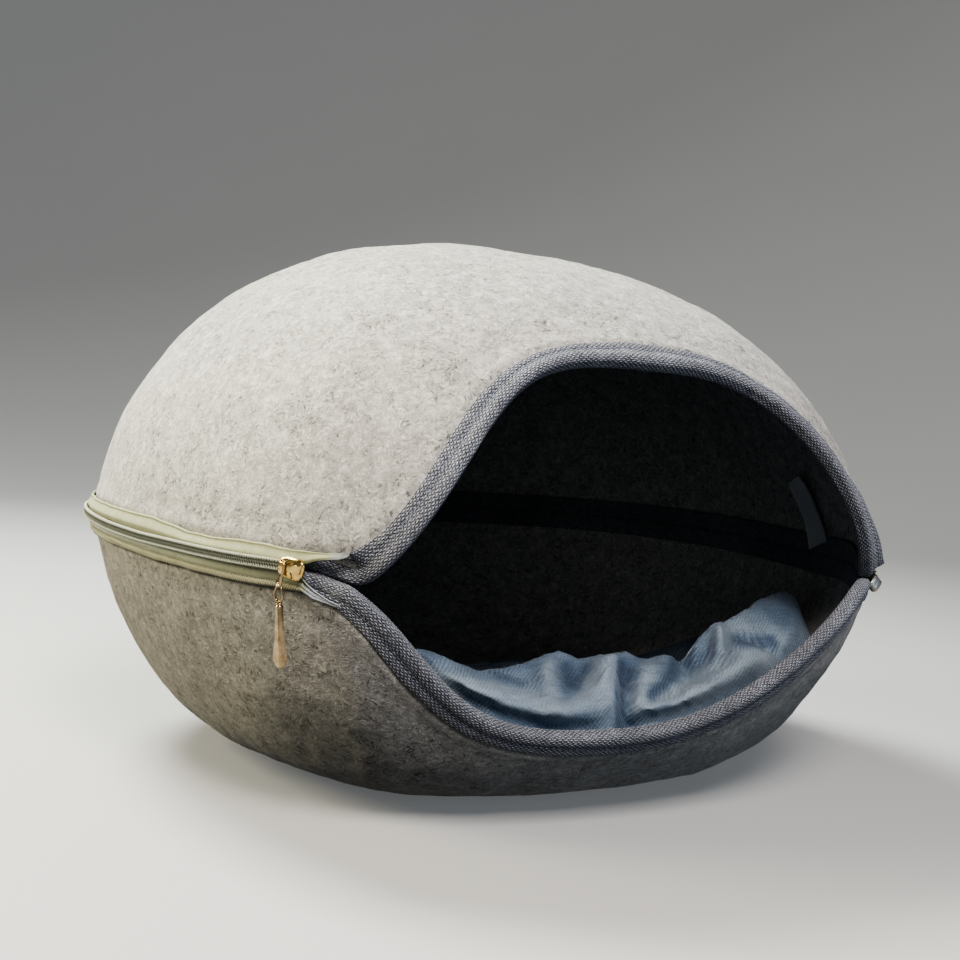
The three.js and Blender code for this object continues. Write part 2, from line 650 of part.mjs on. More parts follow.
// middle of the whole object in plan, and the floor, in the working frame
const MIDDLE = { x: 0, y: 69.2 };
const group = new THREE.Group();
group.position.set(-MIDDLE.x, -MIDDLE.y, BASE.depth);
function add(name, geometry, material) {
  const mesh = new THREE.Mesh(geometry, material);
  mesh.name = name;
  group.add(mesh);
  return mesh;
}

add('shell_upper', shellGeometry('up'), felt);
add('shell_lower', shellGeometry('low'), felt);
add('binding_upper', bindingGeometry('up'), webbing);
add('binding_lower', bindingGeometry('low'), webbing);
add('zip_tape_upper', tapeGeometry('up'), sage);
add('zip_tape_lower', tapeGeometry('low'), sage);
add('zip_coil_upper', coilGeometry('up'), nylon);
add('zip_coil_lower', coilGeometry('low'), nylon);

const atSlider = zipFrame(SLIDER.at);
if (atSlider.out.dot(atSlider.p) < 0) { atSlider.out.negate(); atSlider.along.negate(); }
add('zip_slider', placed(sliderGeometry(), atSlider, COIL.off), gold);
// the pull hangs straight down from the crown
const pull = pullGeometry();
const face = { p: atSlider.p.clone().add(V(0, 0, 3.2)).add(atSlider.along.clone().multiplyScalar(PULL.shift)), along: V(-atSlider.out.y, atSlider.out.x, 0).normalize(), up: V(0, 0, 1), out: V(atSlider.out.x, atSlider.out.y, 0).normalize() };
face.along = face.up.clone().cross(face.out).normalize();
add('zip_pull', placed(pull, face, COIL.off + SLIDER.base + SLIDER.crown - 0.8), gold);
const atStop = zipFrame(STOP.at);
if (atStop.out.dot(atStop.p) < 0) { atStop.out.negate(); atStop.along.negate(); }
const stop = stopGeometry();
stop.rotateZ(-STOP.tilt);
stop.translate(0, -STOP.drop, 0);
add('zip_stop', placed(stop, atStop, COIL.off), steel);
add('label_inside', labelGeometry(), tag);
add('cushion', cushionGeometry(), twill);

export default group;
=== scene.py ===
# Felt pet hideout: the looks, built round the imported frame. Sizes are worked out in
# millimetres in the part's own frame (+Z up, -Y the front) and turned into metres
# when a mesh is made.
import math

import bpy
import numpy as np
from mathutils import Matrix, Vector


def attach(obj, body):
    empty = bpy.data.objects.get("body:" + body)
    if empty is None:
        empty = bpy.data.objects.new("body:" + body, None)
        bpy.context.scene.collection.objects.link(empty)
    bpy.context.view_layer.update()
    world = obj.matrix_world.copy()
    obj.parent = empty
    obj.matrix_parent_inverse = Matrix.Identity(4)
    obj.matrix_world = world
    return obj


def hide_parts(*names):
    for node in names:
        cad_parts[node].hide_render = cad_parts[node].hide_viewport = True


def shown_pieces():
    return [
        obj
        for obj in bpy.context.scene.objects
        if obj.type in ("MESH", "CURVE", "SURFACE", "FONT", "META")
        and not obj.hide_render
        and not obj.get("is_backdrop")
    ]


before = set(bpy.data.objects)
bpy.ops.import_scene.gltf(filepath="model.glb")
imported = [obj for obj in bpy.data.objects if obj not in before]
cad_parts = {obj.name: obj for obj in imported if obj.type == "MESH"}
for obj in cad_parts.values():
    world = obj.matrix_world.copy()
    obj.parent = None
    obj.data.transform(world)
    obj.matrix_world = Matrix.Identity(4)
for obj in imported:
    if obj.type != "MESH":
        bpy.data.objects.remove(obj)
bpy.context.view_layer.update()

PI = math.pi
DEG = PI / 180

# ------------------------------------------------------------------ sizes (mm)
UNIT = 216.0
PLAN = [(1, -57.3), (3, 1.4), (4, -5.9), (5, 2.0)]
CORNER = {"left": 54.64 * DEG, "right": 59.61 * DEG}
FLARE = {"left": 8.7, "right": 6.6, "at": 57.5 * DEG, "spread": 0.38}
SWAY = [(2, 1.85), (3, 2.0)]
DIP = [(-57.5 * DEG, 1.4, 0.38), (57.5 * DEG, -2.8, 0.38), (-53.6 * DEG, 7.0, 0.09), (59.61 * DEG, 7.34, 0.10)]
SHAPE = {
    "up": {"H": 170.5, "P": 2.40, "DP": 0.015, "Q": 1.775, "Y0": 105.9},
    "low": {"H": 186.1, "P": 2.30, "DP": -0.131, "Q": 1.52, "Y0": 49.0},
}
BASE = {"depth": 134.1, "round": 50.3, "flat": 1.3}
DOOR = {
    "up": {"height": 100.64, "lean": 0.0451, "left": (4.26, 2.50), "right": (2.58, 1.45)},
    "low": {"height": 85.12, "lean": -0.1007, "left": (3.26, 1.40), "right": (2.27, 1.54)},
}
MIDDLE_Y = 69.2
FELT = 4.0
WEB = 1.3
SPLIT = 2.3
LEG = {"door": 10.8, "up": 4.2, "low": 7.4, "inside": 10.8}
ROW1 = 12.6
DOOR_SPAN = CORNER["left"] + CORNER["right"]
rng = np.random.default_rng(20261122)


# ------------------------------------------------------------------- the shape
def near(t, c, s):
    return np.exp(-(((t - c) / s) ** 2))


def wrap(th):
    return np.arctan2(np.sin(th), np.cos(th))


def plan_radius(th):
    r = UNIT + sum(amp * np.cos(n * th) for n, amp in PLAN)
    t = wrap(th)
    return r + FLARE["right"] * near(t, FLARE["at"], FLARE["spread"]) + FLARE["left"] * near(t, -FLARE["at"], FLARE["spread"])


def meet_height(th):
    z = sum(amp * np.cos(n * th) for n, amp in SWAY)
    t = wrap(th)
    for at, by, spread in DIP:
        z = z - by * near(t, at, spread)
    return z


def soft_min(a, b, k):
    h = np.clip(0.5 + 0.5 * (b - a) / k, 0, 1)
    return b * (1 - h) + a * h - k * h * (1 - h)


def exps(side, th):
    s = SHAPE[side]
    return s["P"] + s["DP"] * np.cos(th), s["Q"]


def rise(side, th, a):
    return np.power(np.maximum(np.sin(a), 0), 2 / exps(side, th)[1])


def reach(side, th, a):
    return np.power(np.maximum(np.cos(a), 0), 2 / exps(side, th)[0])


def angle_of_rise(side, th, w):
    a = np.arcsin(np.clip(np.power(np.maximum(w, 0), exps(side, th)[1] / 2), 0, 1))
    return a + np.zeros_like(np.asarray(th, float))


def skin(side, th, a):
    """Points of a shell's outer face, in the working frame (meeting plane at z = 0)."""
    s = SHAPE[side]
    w, g, r = rise(side, th, a), reach(side, th, a), plan_radius(th)
    lift = meet_height(th) * (1 - w) ** 2
    x = np.sin(th) * r * g
    y = s["Y0"] + (-np.cos(th) * r - s["Y0"]) * g
    if side == "up":
        z = s["H"] * w + lift
    else:
        z = np.maximum(lift - soft_min(s["H"] * w, BASE["depth"] + BASE["flat"], BASE["round"]), -BASE["depth"])
    return np.stack(np.broadcast_arrays(x, y, z), -1)


def unit(v):
    return v / np.maximum(np.linalg.norm(v, axis=-1, keepdims=True), 1e-12)


def normal_at(side, th, a):
    e = 1e-4
    b = np.clip(a, 2e-3, PI / 2 - 2e-3)
    du = skin(side, th + e, b) - skin(side, th - e, b)
    dv = skin(side, th, b + e) - skin(side, th, b - e)
    n = unit(np.cross(du, dv))
    return n if side == "up" else -n


def door_point(side, s):
    d = DOOR[side]
    x0 = -math.sin(CORNER["left"]) * plan_radius(-CORNER["left"])
    x1 = math.sin(CORNER["right"]) * plan_radius(CORNER["right"])
    x = x0 + (x1 - x0) * (s + 1) / 2
    leaned = s - d["lean"] * (1 - s * s)
    m = np.where(leaned < 0, d["left"][0], d["right"][0])
    q = np.where(leaned < 0, d["left"][1], d["right"][1])
    h = SPLIT + (d["height"] - SPLIT) * np.power(np.maximum(1 - np.power(np.abs(leaned), m), 0), q)
    w = h / SHAPE[side]["H"]
    lo, hi = np.full_like(s, -1.62), np.full_like(s, 1.62)
    for _ in range(50):
        th = (lo + hi) / 2
        less = np.sin(th) * plan_radius(th) * reach(side, th, angle_of_rise(side, th, w)) < x
        lo, hi = np.where(less, th, lo), np.where(less, hi, th)
    th = (lo + hi) / 2
    th = np.where(s <= -1, -CORNER["left"], np.where(s >= 1, CORNER["right"], th))
    return th, angle_of_rise(side, th, w)


def walk(side, q, length):
    """Plan angle and rise of the skin points a length inwards from the rim stations."""
    goal = q["p"] + q["in"] * length
    th, a = q["th"].copy(), q["a"].copy()
    for _ in range(12):
        e = 1e-4
        b = np.clip(a, 1e-3, PI / 2 - 1e-3)
        p = skin(side, th, b)
        du = (skin(side, th + e, b) - p) / e
        dv = (skin(side, th, b + e) - p) / e
        r = goal - p
        A, B, C = (du * du).sum(-1), (du * dv).sum(-1), (dv * dv).sum(-1)
        det = A * C - B * B
        th = th + (C * (du * r).sum(-1) - B * (dv * r).sum(-1)) / det
        a = b + (A * (dv * r).sum(-1) - B * (du * r).sum(-1)) / det
    return th, a


def rim(side, n_door, n_back, closed=True):
    """Stations round a rim: the doorway from left to right, then the back."""
    s = np.sin((np.arange(6001) / 6000 - 0.5) * PI)
    th, a = door_point(side, s)
    p = skin(side, th, a)
    run = np.concatenate([[0], np.cumsum(np.linalg.norm(np.diff(p, axis=0), axis=1))])
    want = run[-1] * np.arange(n_door) / n_door
    th_d, a_d = np.interp(want, run, th), np.interp(want, run, a)
    top_d = -CORNER["left"] + DOOR_SPAN * np.arange(n_door) / n_door
    th_b = CORNER["right"] + (2 * PI - DOOR_SPAN) * np.arange(n_back) / n_back
    a_b = angle_of_rise(side, th_b, SPLIT / SHAPE[side]["H"])
    q = {
        "th": np.concatenate([th_d, th_b]),
        "a": np.concatenate([a_d, a_b]),
        "top": np.concatenate([top_d, th_b]),
        "back": np.concatenate([np.zeros(n_door, bool), np.ones(n_back, bool)]),
    }
    return dress(side, q)


def dress(side, q):
    """Adds each station's point, directions, arc length and first row inwards."""
    q["p"] = skin(side, q["th"], q["a"])
    q["n"] = normal_at(side, q["th"], q["a"])
    along = unit(np.roll(q["p"], -1, 0) - np.roll(q["p"], 1, 0))
    along = unit(along - q["n"] * (along * q["n"]).sum(-1, keepdims=True))
    inn = unit(np.cross(q["n"], along))
    flip = inn[:, 2:3] * (1 if side == "up" else -1) < 0
    q["along"], q["in"] = along, np.where(flip, -inn, inn)
    step = np.linalg.norm(np.roll(q["p"], -1, 0) - q["p"], axis=1)
    q["s"] = np.concatenate([[0], np.cumsum(step)[:-1]])
    q["total"] = float(step.sum())
    q["th1"], q["a1"] = walk(side, q, ROW1)
    return q


def beside(side, q, t, n):
    """Points beside the stations: t into the felt along the skin, n outwards."""
    f = np.clip(t, 0, None) / ROW1
    th = q["th"] + (q["th1"] - q["th"]) * f
    a = q["a"] + (q["a1"] - q["a"]) * f
    p = skin(side, th, a) + q["in"] * np.minimum(t, 0)[..., None]
    return p + normal_at(side, th, a) * np.asarray(n)[..., None]


# width of the webbing's outer leg along the two doorway rims, by length from the left corner
LEG_ALONG = {
    "up": ([0, 10, 21, 33, 58, 83, 110, 135, 160, 177, 189, 202, 220, 237, 253, 270, 287, 330, 428],
           [13.6, 13.4, 12.2, 10.8, 10.4, 11.0, 10.6, 9.2, 9.0, 9.9, 11.0, 11.8, 11.7, 11.0, 10.3, 9.2, 8.8, 8.6, 9.4]),
    "low": ([0, 12, 30, 45, 70, 110, 135, 170, 190, 215, 245, 270, 300, 383],
            [9.2, 9.6, 10.6, 11.2, 10.1, 9.8, 10.9, 11.6, 11.0, 10.1, 11.2, 11.8, 11.4, 10.2]),
}


def leg_of(side, q):
    share = zip_share(q)
    door = np.interp(q["s"], *LEG_ALONG[side])
    left_up = (wrap(q["th"]) < 0) & (side == "up")
    door = np.where(q["back"], np.where(left_up, 13.6, LEG["door"] - 1.0), door)
    return door + (LEG[side] - door) * share


def zip_share(q):
    t = wrap(q["th"])
    far = np.where(t < 0, -t - CORNER["left"], t - CORNER["right"])
    return np.where(q["back"], np.clip(far / (6 * DEG), 0, 1), 0.0)


# smooth seeded noise: a sum of sine waves in every direction
def waves(p, size, seed, n=26):
    g = np.random.default_rng(seed)
    d = unit(g.normal(size=(n, 3))) * (2 * PI / size) * g.uniform(0.6, 1.7, (n, 1))
    ph = g.uniform(0, 2 * PI, n)
    out = np.zeros(p.shape[:-1])
    for k in range(n):
        out += np.sin(p @ d[k] + ph[k])
    return out / math.sqrt(n / 2)


# --------------------------------------------------------------- mesh helpers
def to_object(p):
    """Working frame in mm to the part's frame in metres."""
    return (np.asarray(p, float) + [0, -MIDDLE_Y, BASE["depth"]]) / 1000.0


def make(name, points, faces, uv=None, smooth=True, shift=True, values=None):
    """A mesh object from points and faces (lists of index tuples, or one array per corner count)."""
    pts = to_object(points) if shift else np.asarray(points, float) / 1000.0
    groups = faces if isinstance(faces, list) and faces and isinstance(faces[0], np.ndarray) else [np.asarray(faces)]
    loops = np.concatenate([g.reshape(-1) for g in groups]).astype(np.int32)
    sizes = np.concatenate([np.full(len(g), g.shape[1]) for g in groups]).astype(np.int32)
    mesh = bpy.data.meshes.new(name)
    mesh.vertices.add(len(pts))
    mesh.vertices.foreach_set("co", pts.astype(np.float32).reshape(-1))
    mesh.loops.add(len(loops))
    mesh.loops.foreach_set("vertex_index", loops)
    mesh.polygons.add(len(sizes))
    mesh.polygons.foreach_set("loop_start", np.concatenate([[0], np.cumsum(sizes)[:-1]]).astype(np.int32))
    mesh.polygons.foreach_set("loop_total", sizes)
    mesh.polygons.foreach_set("use_smooth", np.full(len(sizes), smooth))
    mesh.update(calc_edges=True)
    if uv is not None:
        layer = mesh.uv_layers.new(name="UVMap")
        uv = np.asarray(uv, float)
        per_loop = uv[loops] if len(uv) == len(pts) else uv
        layer.data.foreach_set("uv", per_loop.astype(np.float32).reshape(-1))
    for key, val in (values or {}).items():
        at = mesh.attributes.new(key, "FLOAT", "POINT")
        at.data.foreach_set("value", np.asarray(val, np.float32))
    mesh.validate()
    obj = bpy.data.objects.new(name, mesh)
    bpy.context.scene.collection.objects.link(obj)
    return obj


def signed_volume(points, faces):
    p = np.asarray(points, float)
    v = 0.0
    for f in faces:
        for k in range(1, f.shape[1] - 1):
            a, b, c = p[f[:, 0]], p[f[:, k]], p[f[:, k + 1]]
            v += (a * np.cross(b, c)).sum()
    return v


def outward(points, faces):
    if signed_volume(points, faces) < 0:
        return [f[:, ::-1].copy() for f in faces]
    return faces


def grid_faces(n, m, ring_n=False, ring_m=False, start=0):
    """Quads of an n by m grid of points."""
    i = np.arange(n if ring_n else n - 1)
    j = np.arange(m if ring_m else m - 1)
    i, j = np.meshgrid(i, j, indexing="ij")
    i2, j2 = (i + 1) % n, (j + 1) % m
    return np.stack([i * m + j, i * m + j2, i2 * m + j2, i2 * m + j], -1).reshape(-1, 4) + start


def loft(sections, ring):
    """Closed sections (n, k, 3) to points and faces, its ends capped unless it is a ring."""
    n, k = sections.shape[:2]
    pts = sections.reshape(-1, 3)
    faces = [grid_faces(n, k, ring_n=ring, ring_m=True)]
    if not ring:
        mids = np.stack([sections[0].mean(0), sections[-1].mean(0)])
        c = len(pts)
        pts = np.concatenate([pts, mids])
        j = np.arange(k)
        a = np.stack([np.full(k, c), (j + 1) % k, j], -1)
        b = np.stack([np.full(k, c + 1), (n - 1) * k + j, (n - 1) * k + (j + 1) % k], -1)
        faces.append(np.concatenate([a, b]))
    return pts, outward(pts, faces)


def join_parts(parts):
    """Several (points, faces, uv) as one."""
    P, F, U, base = [], {}, [], 0
    for pts, faces, uv in parts:
        P.append(pts)
        U.append(uv if uv is not None else np.zeros((len(pts), 2)))
        for f in faces:
            F.setdefault(f.shape[1], []).append(f + base)
        base += len(pts)
    return np.concatenate(P), [np.concatenate(v) for _, v in sorted(F.items())], np.concatenate(U)


# ------------------------------------------------------------------- materials
def new_material(name):
    m = bpy.data.materials.new(name)
    m.use_nodes = True
    t = m.node_tree
    b = t.nodes["Principled BSDF"]
    return m, t, b


class Nodes:
    """A short way to write node trees."""

    def __init__(self, tree):
        self.t = tree

    def new(self, kind, **kw):
        n = self.t.nodes.new(kind)
        for k, v in kw.items():
            setattr(n, k, v)
        return n

    def link(self, a, b):
        self.t.links.new(a, b)

    def put(self, socket, v):
        if isinstance(v, (int, float)):
            socket.default_value = v
        elif isinstance(v, (tuple, list)):
            socket.default_value = v
        else:
            self.link(v, socket)

    def math(self, op, a, b=None, c=None, clamp=False):
        n = self.new("ShaderNodeMath", operation=op, use_clamp=clamp)
        self.put(n.inputs[0], a)
        if b is not None:
            self.put(n.inputs[1], b)
        if c is not None:
            self.put(n.inputs[2], c)
        return n.outputs[0]

    def mix(self, fac, a, b, blend="MIX"):
        n = self.new("ShaderNodeMix", data_type="RGBA", blend_type=blend)
        self.put(n.inputs[0], fac)
        self.put(n.inputs[6], a)
        self.put(n.inputs[7], b)
        return n.outputs[2]

    def ramp(self, fac, stops, mode="LINEAR"):
        n = self.new("ShaderNodeValToRGB")
        n.color_ramp.interpolation = mode
        e = n.color_ramp.elements
        while len(e) < len(stops):
            e.new(0.5)
        for k, (at, col) in enumerate(stops):
            e[k].position = at
            e[k].color = (*col, 1) if len(col) == 3 else col
        self.link(fac, n.inputs[0])
        return n.outputs[0]

    def map_range(self, v, a, b, c=0.0, d=1.0, smooth=False):
        n = self.new("ShaderNodeMapRange", interpolation_type="SMOOTHSTEP" if smooth else "LINEAR")
        self.put(n.inputs[0], v)
        for k, x in enumerate((a, b, c, d)):
            n.inputs[k + 1].default_value = x
        return n.outputs[0]

    def noise(self, vec, scale, detail=3.0, rough=0.55, distortion=0.0, out=0):
        n = self.new("ShaderNodeTexNoise")
        self.link(vec, n.inputs["Vector"])
        n.inputs["Scale"].default_value = scale
        n.inputs["Detail"].default_value = detail
        n.inputs["Roughness"].default_value = rough
        n.inputs["Distortion"].default_value = distortion
        return n.outputs[out]

    def mapping(self, vec, scale=(1, 1, 1), rot=(0, 0, 0), loc=(0, 0, 0)):
        n = self.new("ShaderNodeMapping")
        self.link(vec, n.inputs[0])
        n.inputs["Location"].default_value = loc
        n.inputs["Rotation"].default_value = rot
        n.inputs["Scale"].default_value = scale
        return n.outputs[0]

    def bump(self, height, strength=0.4, distance=0.001, normal=None):
        n = self.new("ShaderNodeBump")
        n.inputs["Strength"].default_value = strength
        n.inputs["Distance"].default_value = distance
        self.link(height, n.inputs["Height"])
        if normal is not None:
            self.link(normal, n.inputs["Normal"])
        return n.outputs[0]


def lin(h):
    out = []
    for s in (16, 8, 0):
        v = ((h >> s) & 255) / 255
        out.append(v / 12.92 if v <= 0.04045 else ((v + 0.055) / 1.055) ** 2.4)
    return tuple(out)


def felt_material():
    m, t, b = new_material("heather_felt")
    N = Nodes(t)
    co = N.new("ShaderNodeTexCoord").outputs["Object"]
    # warped coordinates, so that the fibres wander
    warp = N.noise(co, 120.0, 2.0, out=1)
    vadd = N.new("ShaderNodeVectorMath", operation="MULTIPLY_ADD")
    N.link(warp, vadd.inputs[0])
    vadd.inputs[1].default_value = (0.012, 0.012, 0.012)
    N.link(co, vadd.inputs[2])
    wv = vadd.outputs[0]
    # fibres: noise squeezed along three slanted directions
    s1 = N.noise(N.mapping(wv, (1.0, 0.28, 1.0), (0.4, 0.2, 0.6)), 620.0, 2.0, 0.55)
    s2 = N.noise(N.mapping(wv, (0.28, 1.0, 1.0), (0.1, 0.9, -0.5), (3, 1, 2)), 560.0, 2.0, 0.55)
    s3 = N.noise(N.mapping(wv, (1.0, 1.0, 0.28), (0.8, -0.3, 0.2), (7, 4, 1)), 680.0, 2.0, 0.55)
    lo = N.math("MINIMUM", N.math("MINIMUM", s1, s2), s3)
    hi = N.math("MAXIMUM", N.math("MAXIMUM", s1, s2), s3)
    # mottling: where dark fibres gather, at two sizes
    patch = N.noise(co, 110.0, 3.0, 0.62)
    patch2 = N.noise(co, 38.0, 3.0, 0.55)
    patch3 = N.noise(co, 260.0, 2.0, 0.6)
    gather = N.math("ADD", N.math("MULTIPLY", patch, 0.55), N.math("MULTIPLY", patch2, 0.45))
    gather = N.map_range(gather, 0.38, 0.62, 0.25, 1.0, True)
    dark = N.math("MULTIPLY", N.map_range(lo, 0.30, 0.405, 1.0, 0.0, True), gather)
    light = N.map_range(hi, 0.58, 0.70, 0.0, 1.0, True)
    base = N.mix(N.map_range(patch, 0.34, 0.66, 0.0, 1.0), (0.70, 0.685, 0.638, 1), (0.43, 0.42, 0.393, 1))
    base = N.mix(N.map_range(patch3, 0.36, 0.64, 0.0, 0.62), base, (0.33, 0.323, 0.305, 1))
    fine = N.noise(co, 1500.0, 2.0, 0.6)
    base = N.mix(N.map_range(fine, 0.35, 0.65, 0.0, 0.48), base, (0.34, 0.335, 0.32, 1))
    col = N.mix(N.math("MULTIPLY", dark, 0.92), base, (0.115, 0.112, 0.108, 1))
    col = N.mix(N.math("MULTIPLY", light, 0.55), col, (0.80, 0.79, 0.75, 1))
    N.link(col, b.inputs["Base Color"])
    b.inputs["Roughness"].default_value = 0.97
    b.inputs["Specular IOR Level"].default_value = 0.10
    b.inputs["Sheen Weight"].default_value = 0.25
    b.inputs["Sheen Roughness"].default_value = 0.5
    b.inputs["Sheen Tint"].default_value = (0.95, 0.95, 0.92, 1)
    h = N.math("ADD", N.math("MULTIPLY", hi, 0.7), N.math("MULTIPLY", fine, 0.4))
    h = N.math("ADD", h, N.math("MULTIPLY", patch3, 0.5))
    N.link(N.bump(h, 0.55, 0.0009), b.inputs["Normal"])
    return m


def fibre_material(name, light, dark):
    m, t, b = new_material(name)
    N = Nodes(t)
    co = N.new("ShaderNodeTexCoord").outputs["Object"]
    f = N.map_range(N.noise(co, 260.0, 1.0), 0.35, 0.65)
    N.link(N.mix(f, (*dark, 1), (*light, 1)), b.inputs["Base Color"])
    b.inputs["Roughness"].default_value = 0.9
    b.inputs["Specular IOR Level"].default_value = 0.15
    return m


def weave_height(N, u, v, pitch, row):
    """Staggered floats: 1 on the middle of a float, 0 between floats."""
    vr = N.math("DIVIDE", v, row)
    r = N.math("FLOOR", vr)
    vv = N.math("SUBTRACT", N.math("SUBTRACT", vr, r), 0.5)
    odd = N.math("MODULO", N.math("ADD", r, 1000.0), 2.0)
    ph = N.math("ADD", N.math("DIVIDE", u, pitch), N.math("MULTIPLY", odd, 0.5))
    ph = N.math("ADD", ph, N.math("MULTIPLY", vv, N.math("SUBTRACT", 0.30, N.math("MULTIPLY", odd, 0.60))))
    c = N.math("ADD", N.math("MULTIPLY", N.math("COSINE", N.math("MULTIPLY", ph, 2 * PI)), 0.5), 0.5)
    edge = N.math("SUBTRACT", 1.0, N.math("POWER", N.math("ABSOLUTE", N.math("MULTIPLY", vv, 2.0)), 2.6), clamp=True)
    strand = N.math("ADD", N.math("MULTIPLY", N.math("COSINE", N.math("MULTIPLY", ph, 4 * PI)), 0.5), 0.5)
    # small gaps between the strands, along the borders of the rows
    border = N.math("POWER", N.math("ABSOLUTE", N.math("MULTIPLY", vv, 2.0)), 1.5)
    gap = N.math("POWER", N.math("SUBTRACT", 1.0, strand), 1.6)
    dots = N.math("MULTIPLY", N.math("MULTIPLY", border, gap), N.math("SUBTRACT", 1.15, N.math("MULTIPLY", c, 0.55)))
    return N.math("MULTIPLY", N.math("POWER", c, 0.85), N.math("POWER", edge, 0.7)), strand, dots


def webbing_material():
    m, t, b = new_material("slate_webbing")
    N = Nodes(t)
    uv = N.new("ShaderNodeUVMap", uv_map="UVMap").outputs[0]
    sep = N.new("ShaderNodeSeparateXYZ")
    N.link(uv, sep.inputs[0])
    u, v = sep.outputs[0], sep.outputs[1]
    co = N.new("ShaderNodeTexCoord").outputs["Object"]
    # a little wander in the weave
    wob = N.noise(co, 160.0, 2.0)
    u2 = N.math("ADD", u, N.math("MULTIPLY", N.math("SUBTRACT", wob, 0.5), 0.0022))
    height, strand, dots = weave_height(N, u2, v, WEAVE["pitch"] / 1000, WEAVE["row"] / 1000)
    fil = N.noise(N.mapping(uv, (700, 2600, 1)), 1.0, 2.0, 0.6)
    fleck = N.noise(co, 1000.0, 2.0, 0.65)
    blotch = N.noise(co, 240.0, 2.0, 0.6)
    # painted shade: the colour follows the weave, lighter on the middles of the floats and darkened in the gaps between
    # the strands
    tone = N.math("ADD", N.math("MULTIPLY", height, 0.40), 0.34)
    tone = N.math("SUBTRACT", tone, N.math("MULTIPLY", dots, 0.62))
    tone = N.math("ADD", tone, N.math("MULTIPLY", N.math("SUBTRACT", fil, 0.5), 0.30))
    tone = N.math("ADD", tone, N.math("MULTIPLY", N.math("SUBTRACT", fleck, 0.5), 0.75))
    tone = N.math("ADD", tone, N.math("MULTIPLY", N.math("SUBTRACT", blotch, 0.5), 0.35))
    col = N.ramp(tone, [(0.02, (0.026, 0.028, 0.034)), (0.26, (0.100, 0.107, 0.127)), (0.50, (0.255, 0.272, 0.312)), (0.84, (0.55, 0.57, 0.61))])
    shade = N.map_range(N.noise(co, 22.0, 2.0), 0.3, 0.7, 0.86, 1.12)
    hsv = N.new("ShaderNodeHueSaturation")
    N.link(col, hsv.inputs["Color"])
    N.link(shade, hsv.inputs["Value"])
    N.link(hsv.outputs[0], b.inputs["Base Color"])
    b.inputs["Roughness"].default_value = 0.70
    b.inputs["Specular IOR Level"].default_value = 0.3
    b.inputs["Sheen Weight"].default_value = 0.20
    hh = N.math("ADD", height, N.math("MULTIPLY", fil, 0.35))
    hh = N.math("SUBTRACT", hh, N.math("MULTIPLY", dots, 0.90))
    hh = N.math("ADD", hh, N.math("MULTIPLY", fleck, 0.40))
    N.link(N.bump(hh, 0.8, 0.0004), b.inputs["Normal"])
    return m


def tape_material(name, base, dark, border=None, end=(0.30, 0.32, 0.35)):
    """Fine plain weave of zip tape, with UVs in metres."""
    m, t, b = new_material(name)
    N = Nodes(t)
    uv = N.new("ShaderNodeUVMap", uv_map="UVMap").outputs[0]
    sep = N.new("ShaderNodeSeparateXYZ")
    N.link(uv, sep.inputs[0])
    u, v = sep.outputs[0], sep.outputs[1]
    co = N.new("ShaderNodeTexCoord").outputs["Object"]
    k = 2 * PI / 0.00085
    a = N.math("SINE", N.math("MULTIPLY", u, k))
    c = N.math("SINE", N.math("MULTIPLY", v, k))
    w = N.math("ADD", N.math("MULTIPLY", N.math("MULTIPLY", a, c), 0.5), 0.5)
    soft = N.noise(co, 420.0, 3.0, 0.6)
    big = N.noise(co, 40.0, 2.0)
    tone = N.math("ADD", N.math("MULTIPLY", w, 0.35), N.math("MULTIPLY", soft, 0.45))
    tone = N.math("ADD", tone, N.math("MULTIPLY", big, 0.25))
    col = N.mix(N.map_range(tone, 0.25, 0.80), (*dark, 1), (*base, 1))
    if border is not None:
        # a whipped border of slanting stitches
        ph = N.math("ADD", N.math("MULTIPLY", u, 2 * PI / 0.0013), N.math("MULTIPLY", v, 2 * PI / 0.0026))
        whip = N.math("ADD", N.math("MULTIPLY", N.math("COSINE", ph), 0.5), 0.5)
        whip = N.math("ADD", N.math("MULTIPLY", whip, 0.75), N.math("MULTIPLY", soft, 0.5))
        on = N.map_range(v, 0.0076, 0.0080, 0.0, 1.0, True)
        col = N.mix(on, col, N.mix(N.map_range(whip, 0.15, 0.95), (*border[1], 1), (*border[0], 1)))
        line = N.math("MULTIPLY", N.map_range(v, 0.0070, 0.0076, 0.0, 1.0, True), N.map_range(v, 0.0076, 0.0081, 1.0, 0.0, True))
        col = N.mix(N.math("MULTIPLY", line, 0.6), col, (*border[1], 1))
    fray = N.math("MULTIPLY", N.map_range(v, -0.002, -0.011, 0.0, 1.0, True), N.map_range(soft, 0.25, 0.75, 0.60, 1.0))
    col = N.mix(fray, col, (*end, 1))
    N.link(col, b.inputs["Base Color"])
    b.inputs["Roughness"].default_value = 0.82
    b.inputs["Specular IOR Level"].default_value = 0.2
    b.inputs["Sheen Weight"].default_value = 0.2
    N.link(N.bump(tone, 0.5, 0.0002), b.inputs["Normal"])
    return m


def coil_material():
    m, t, b = new_material("coil_nylon")
    N = Nodes(t)
    uv = N.new("ShaderNodeUVMap", uv_map="UVMap").outputs[0]
    sep = N.new("ShaderNodeSeparateXYZ")
    N.link(uv, sep.inputs[0])
    v = sep.outputs[1]      # millimetres from the meeting line
    co = N.new("ShaderNodeTexCoord").outputs["Object"]
    f = N.map_range(v, 0.9, 2.0, 0.0, 1.0, True)
    n = N.noise(co, 700.0, 2.0)
    col = N.mix(f, (0.150, 0.165, 0.130, 1), (0.56, 0.58, 0.48, 1))
    col = N.mix(N.map_range(n, 0.4, 0.7, 0.0, 0.35), col, (0.25, 0.27, 0.22, 1))
    N.link(col, b.inputs["Base Color"])
    b.inputs["Roughness"].default_value = 0.42
    b.inputs["Specular IOR Level"].default_value = 0.45
    return m


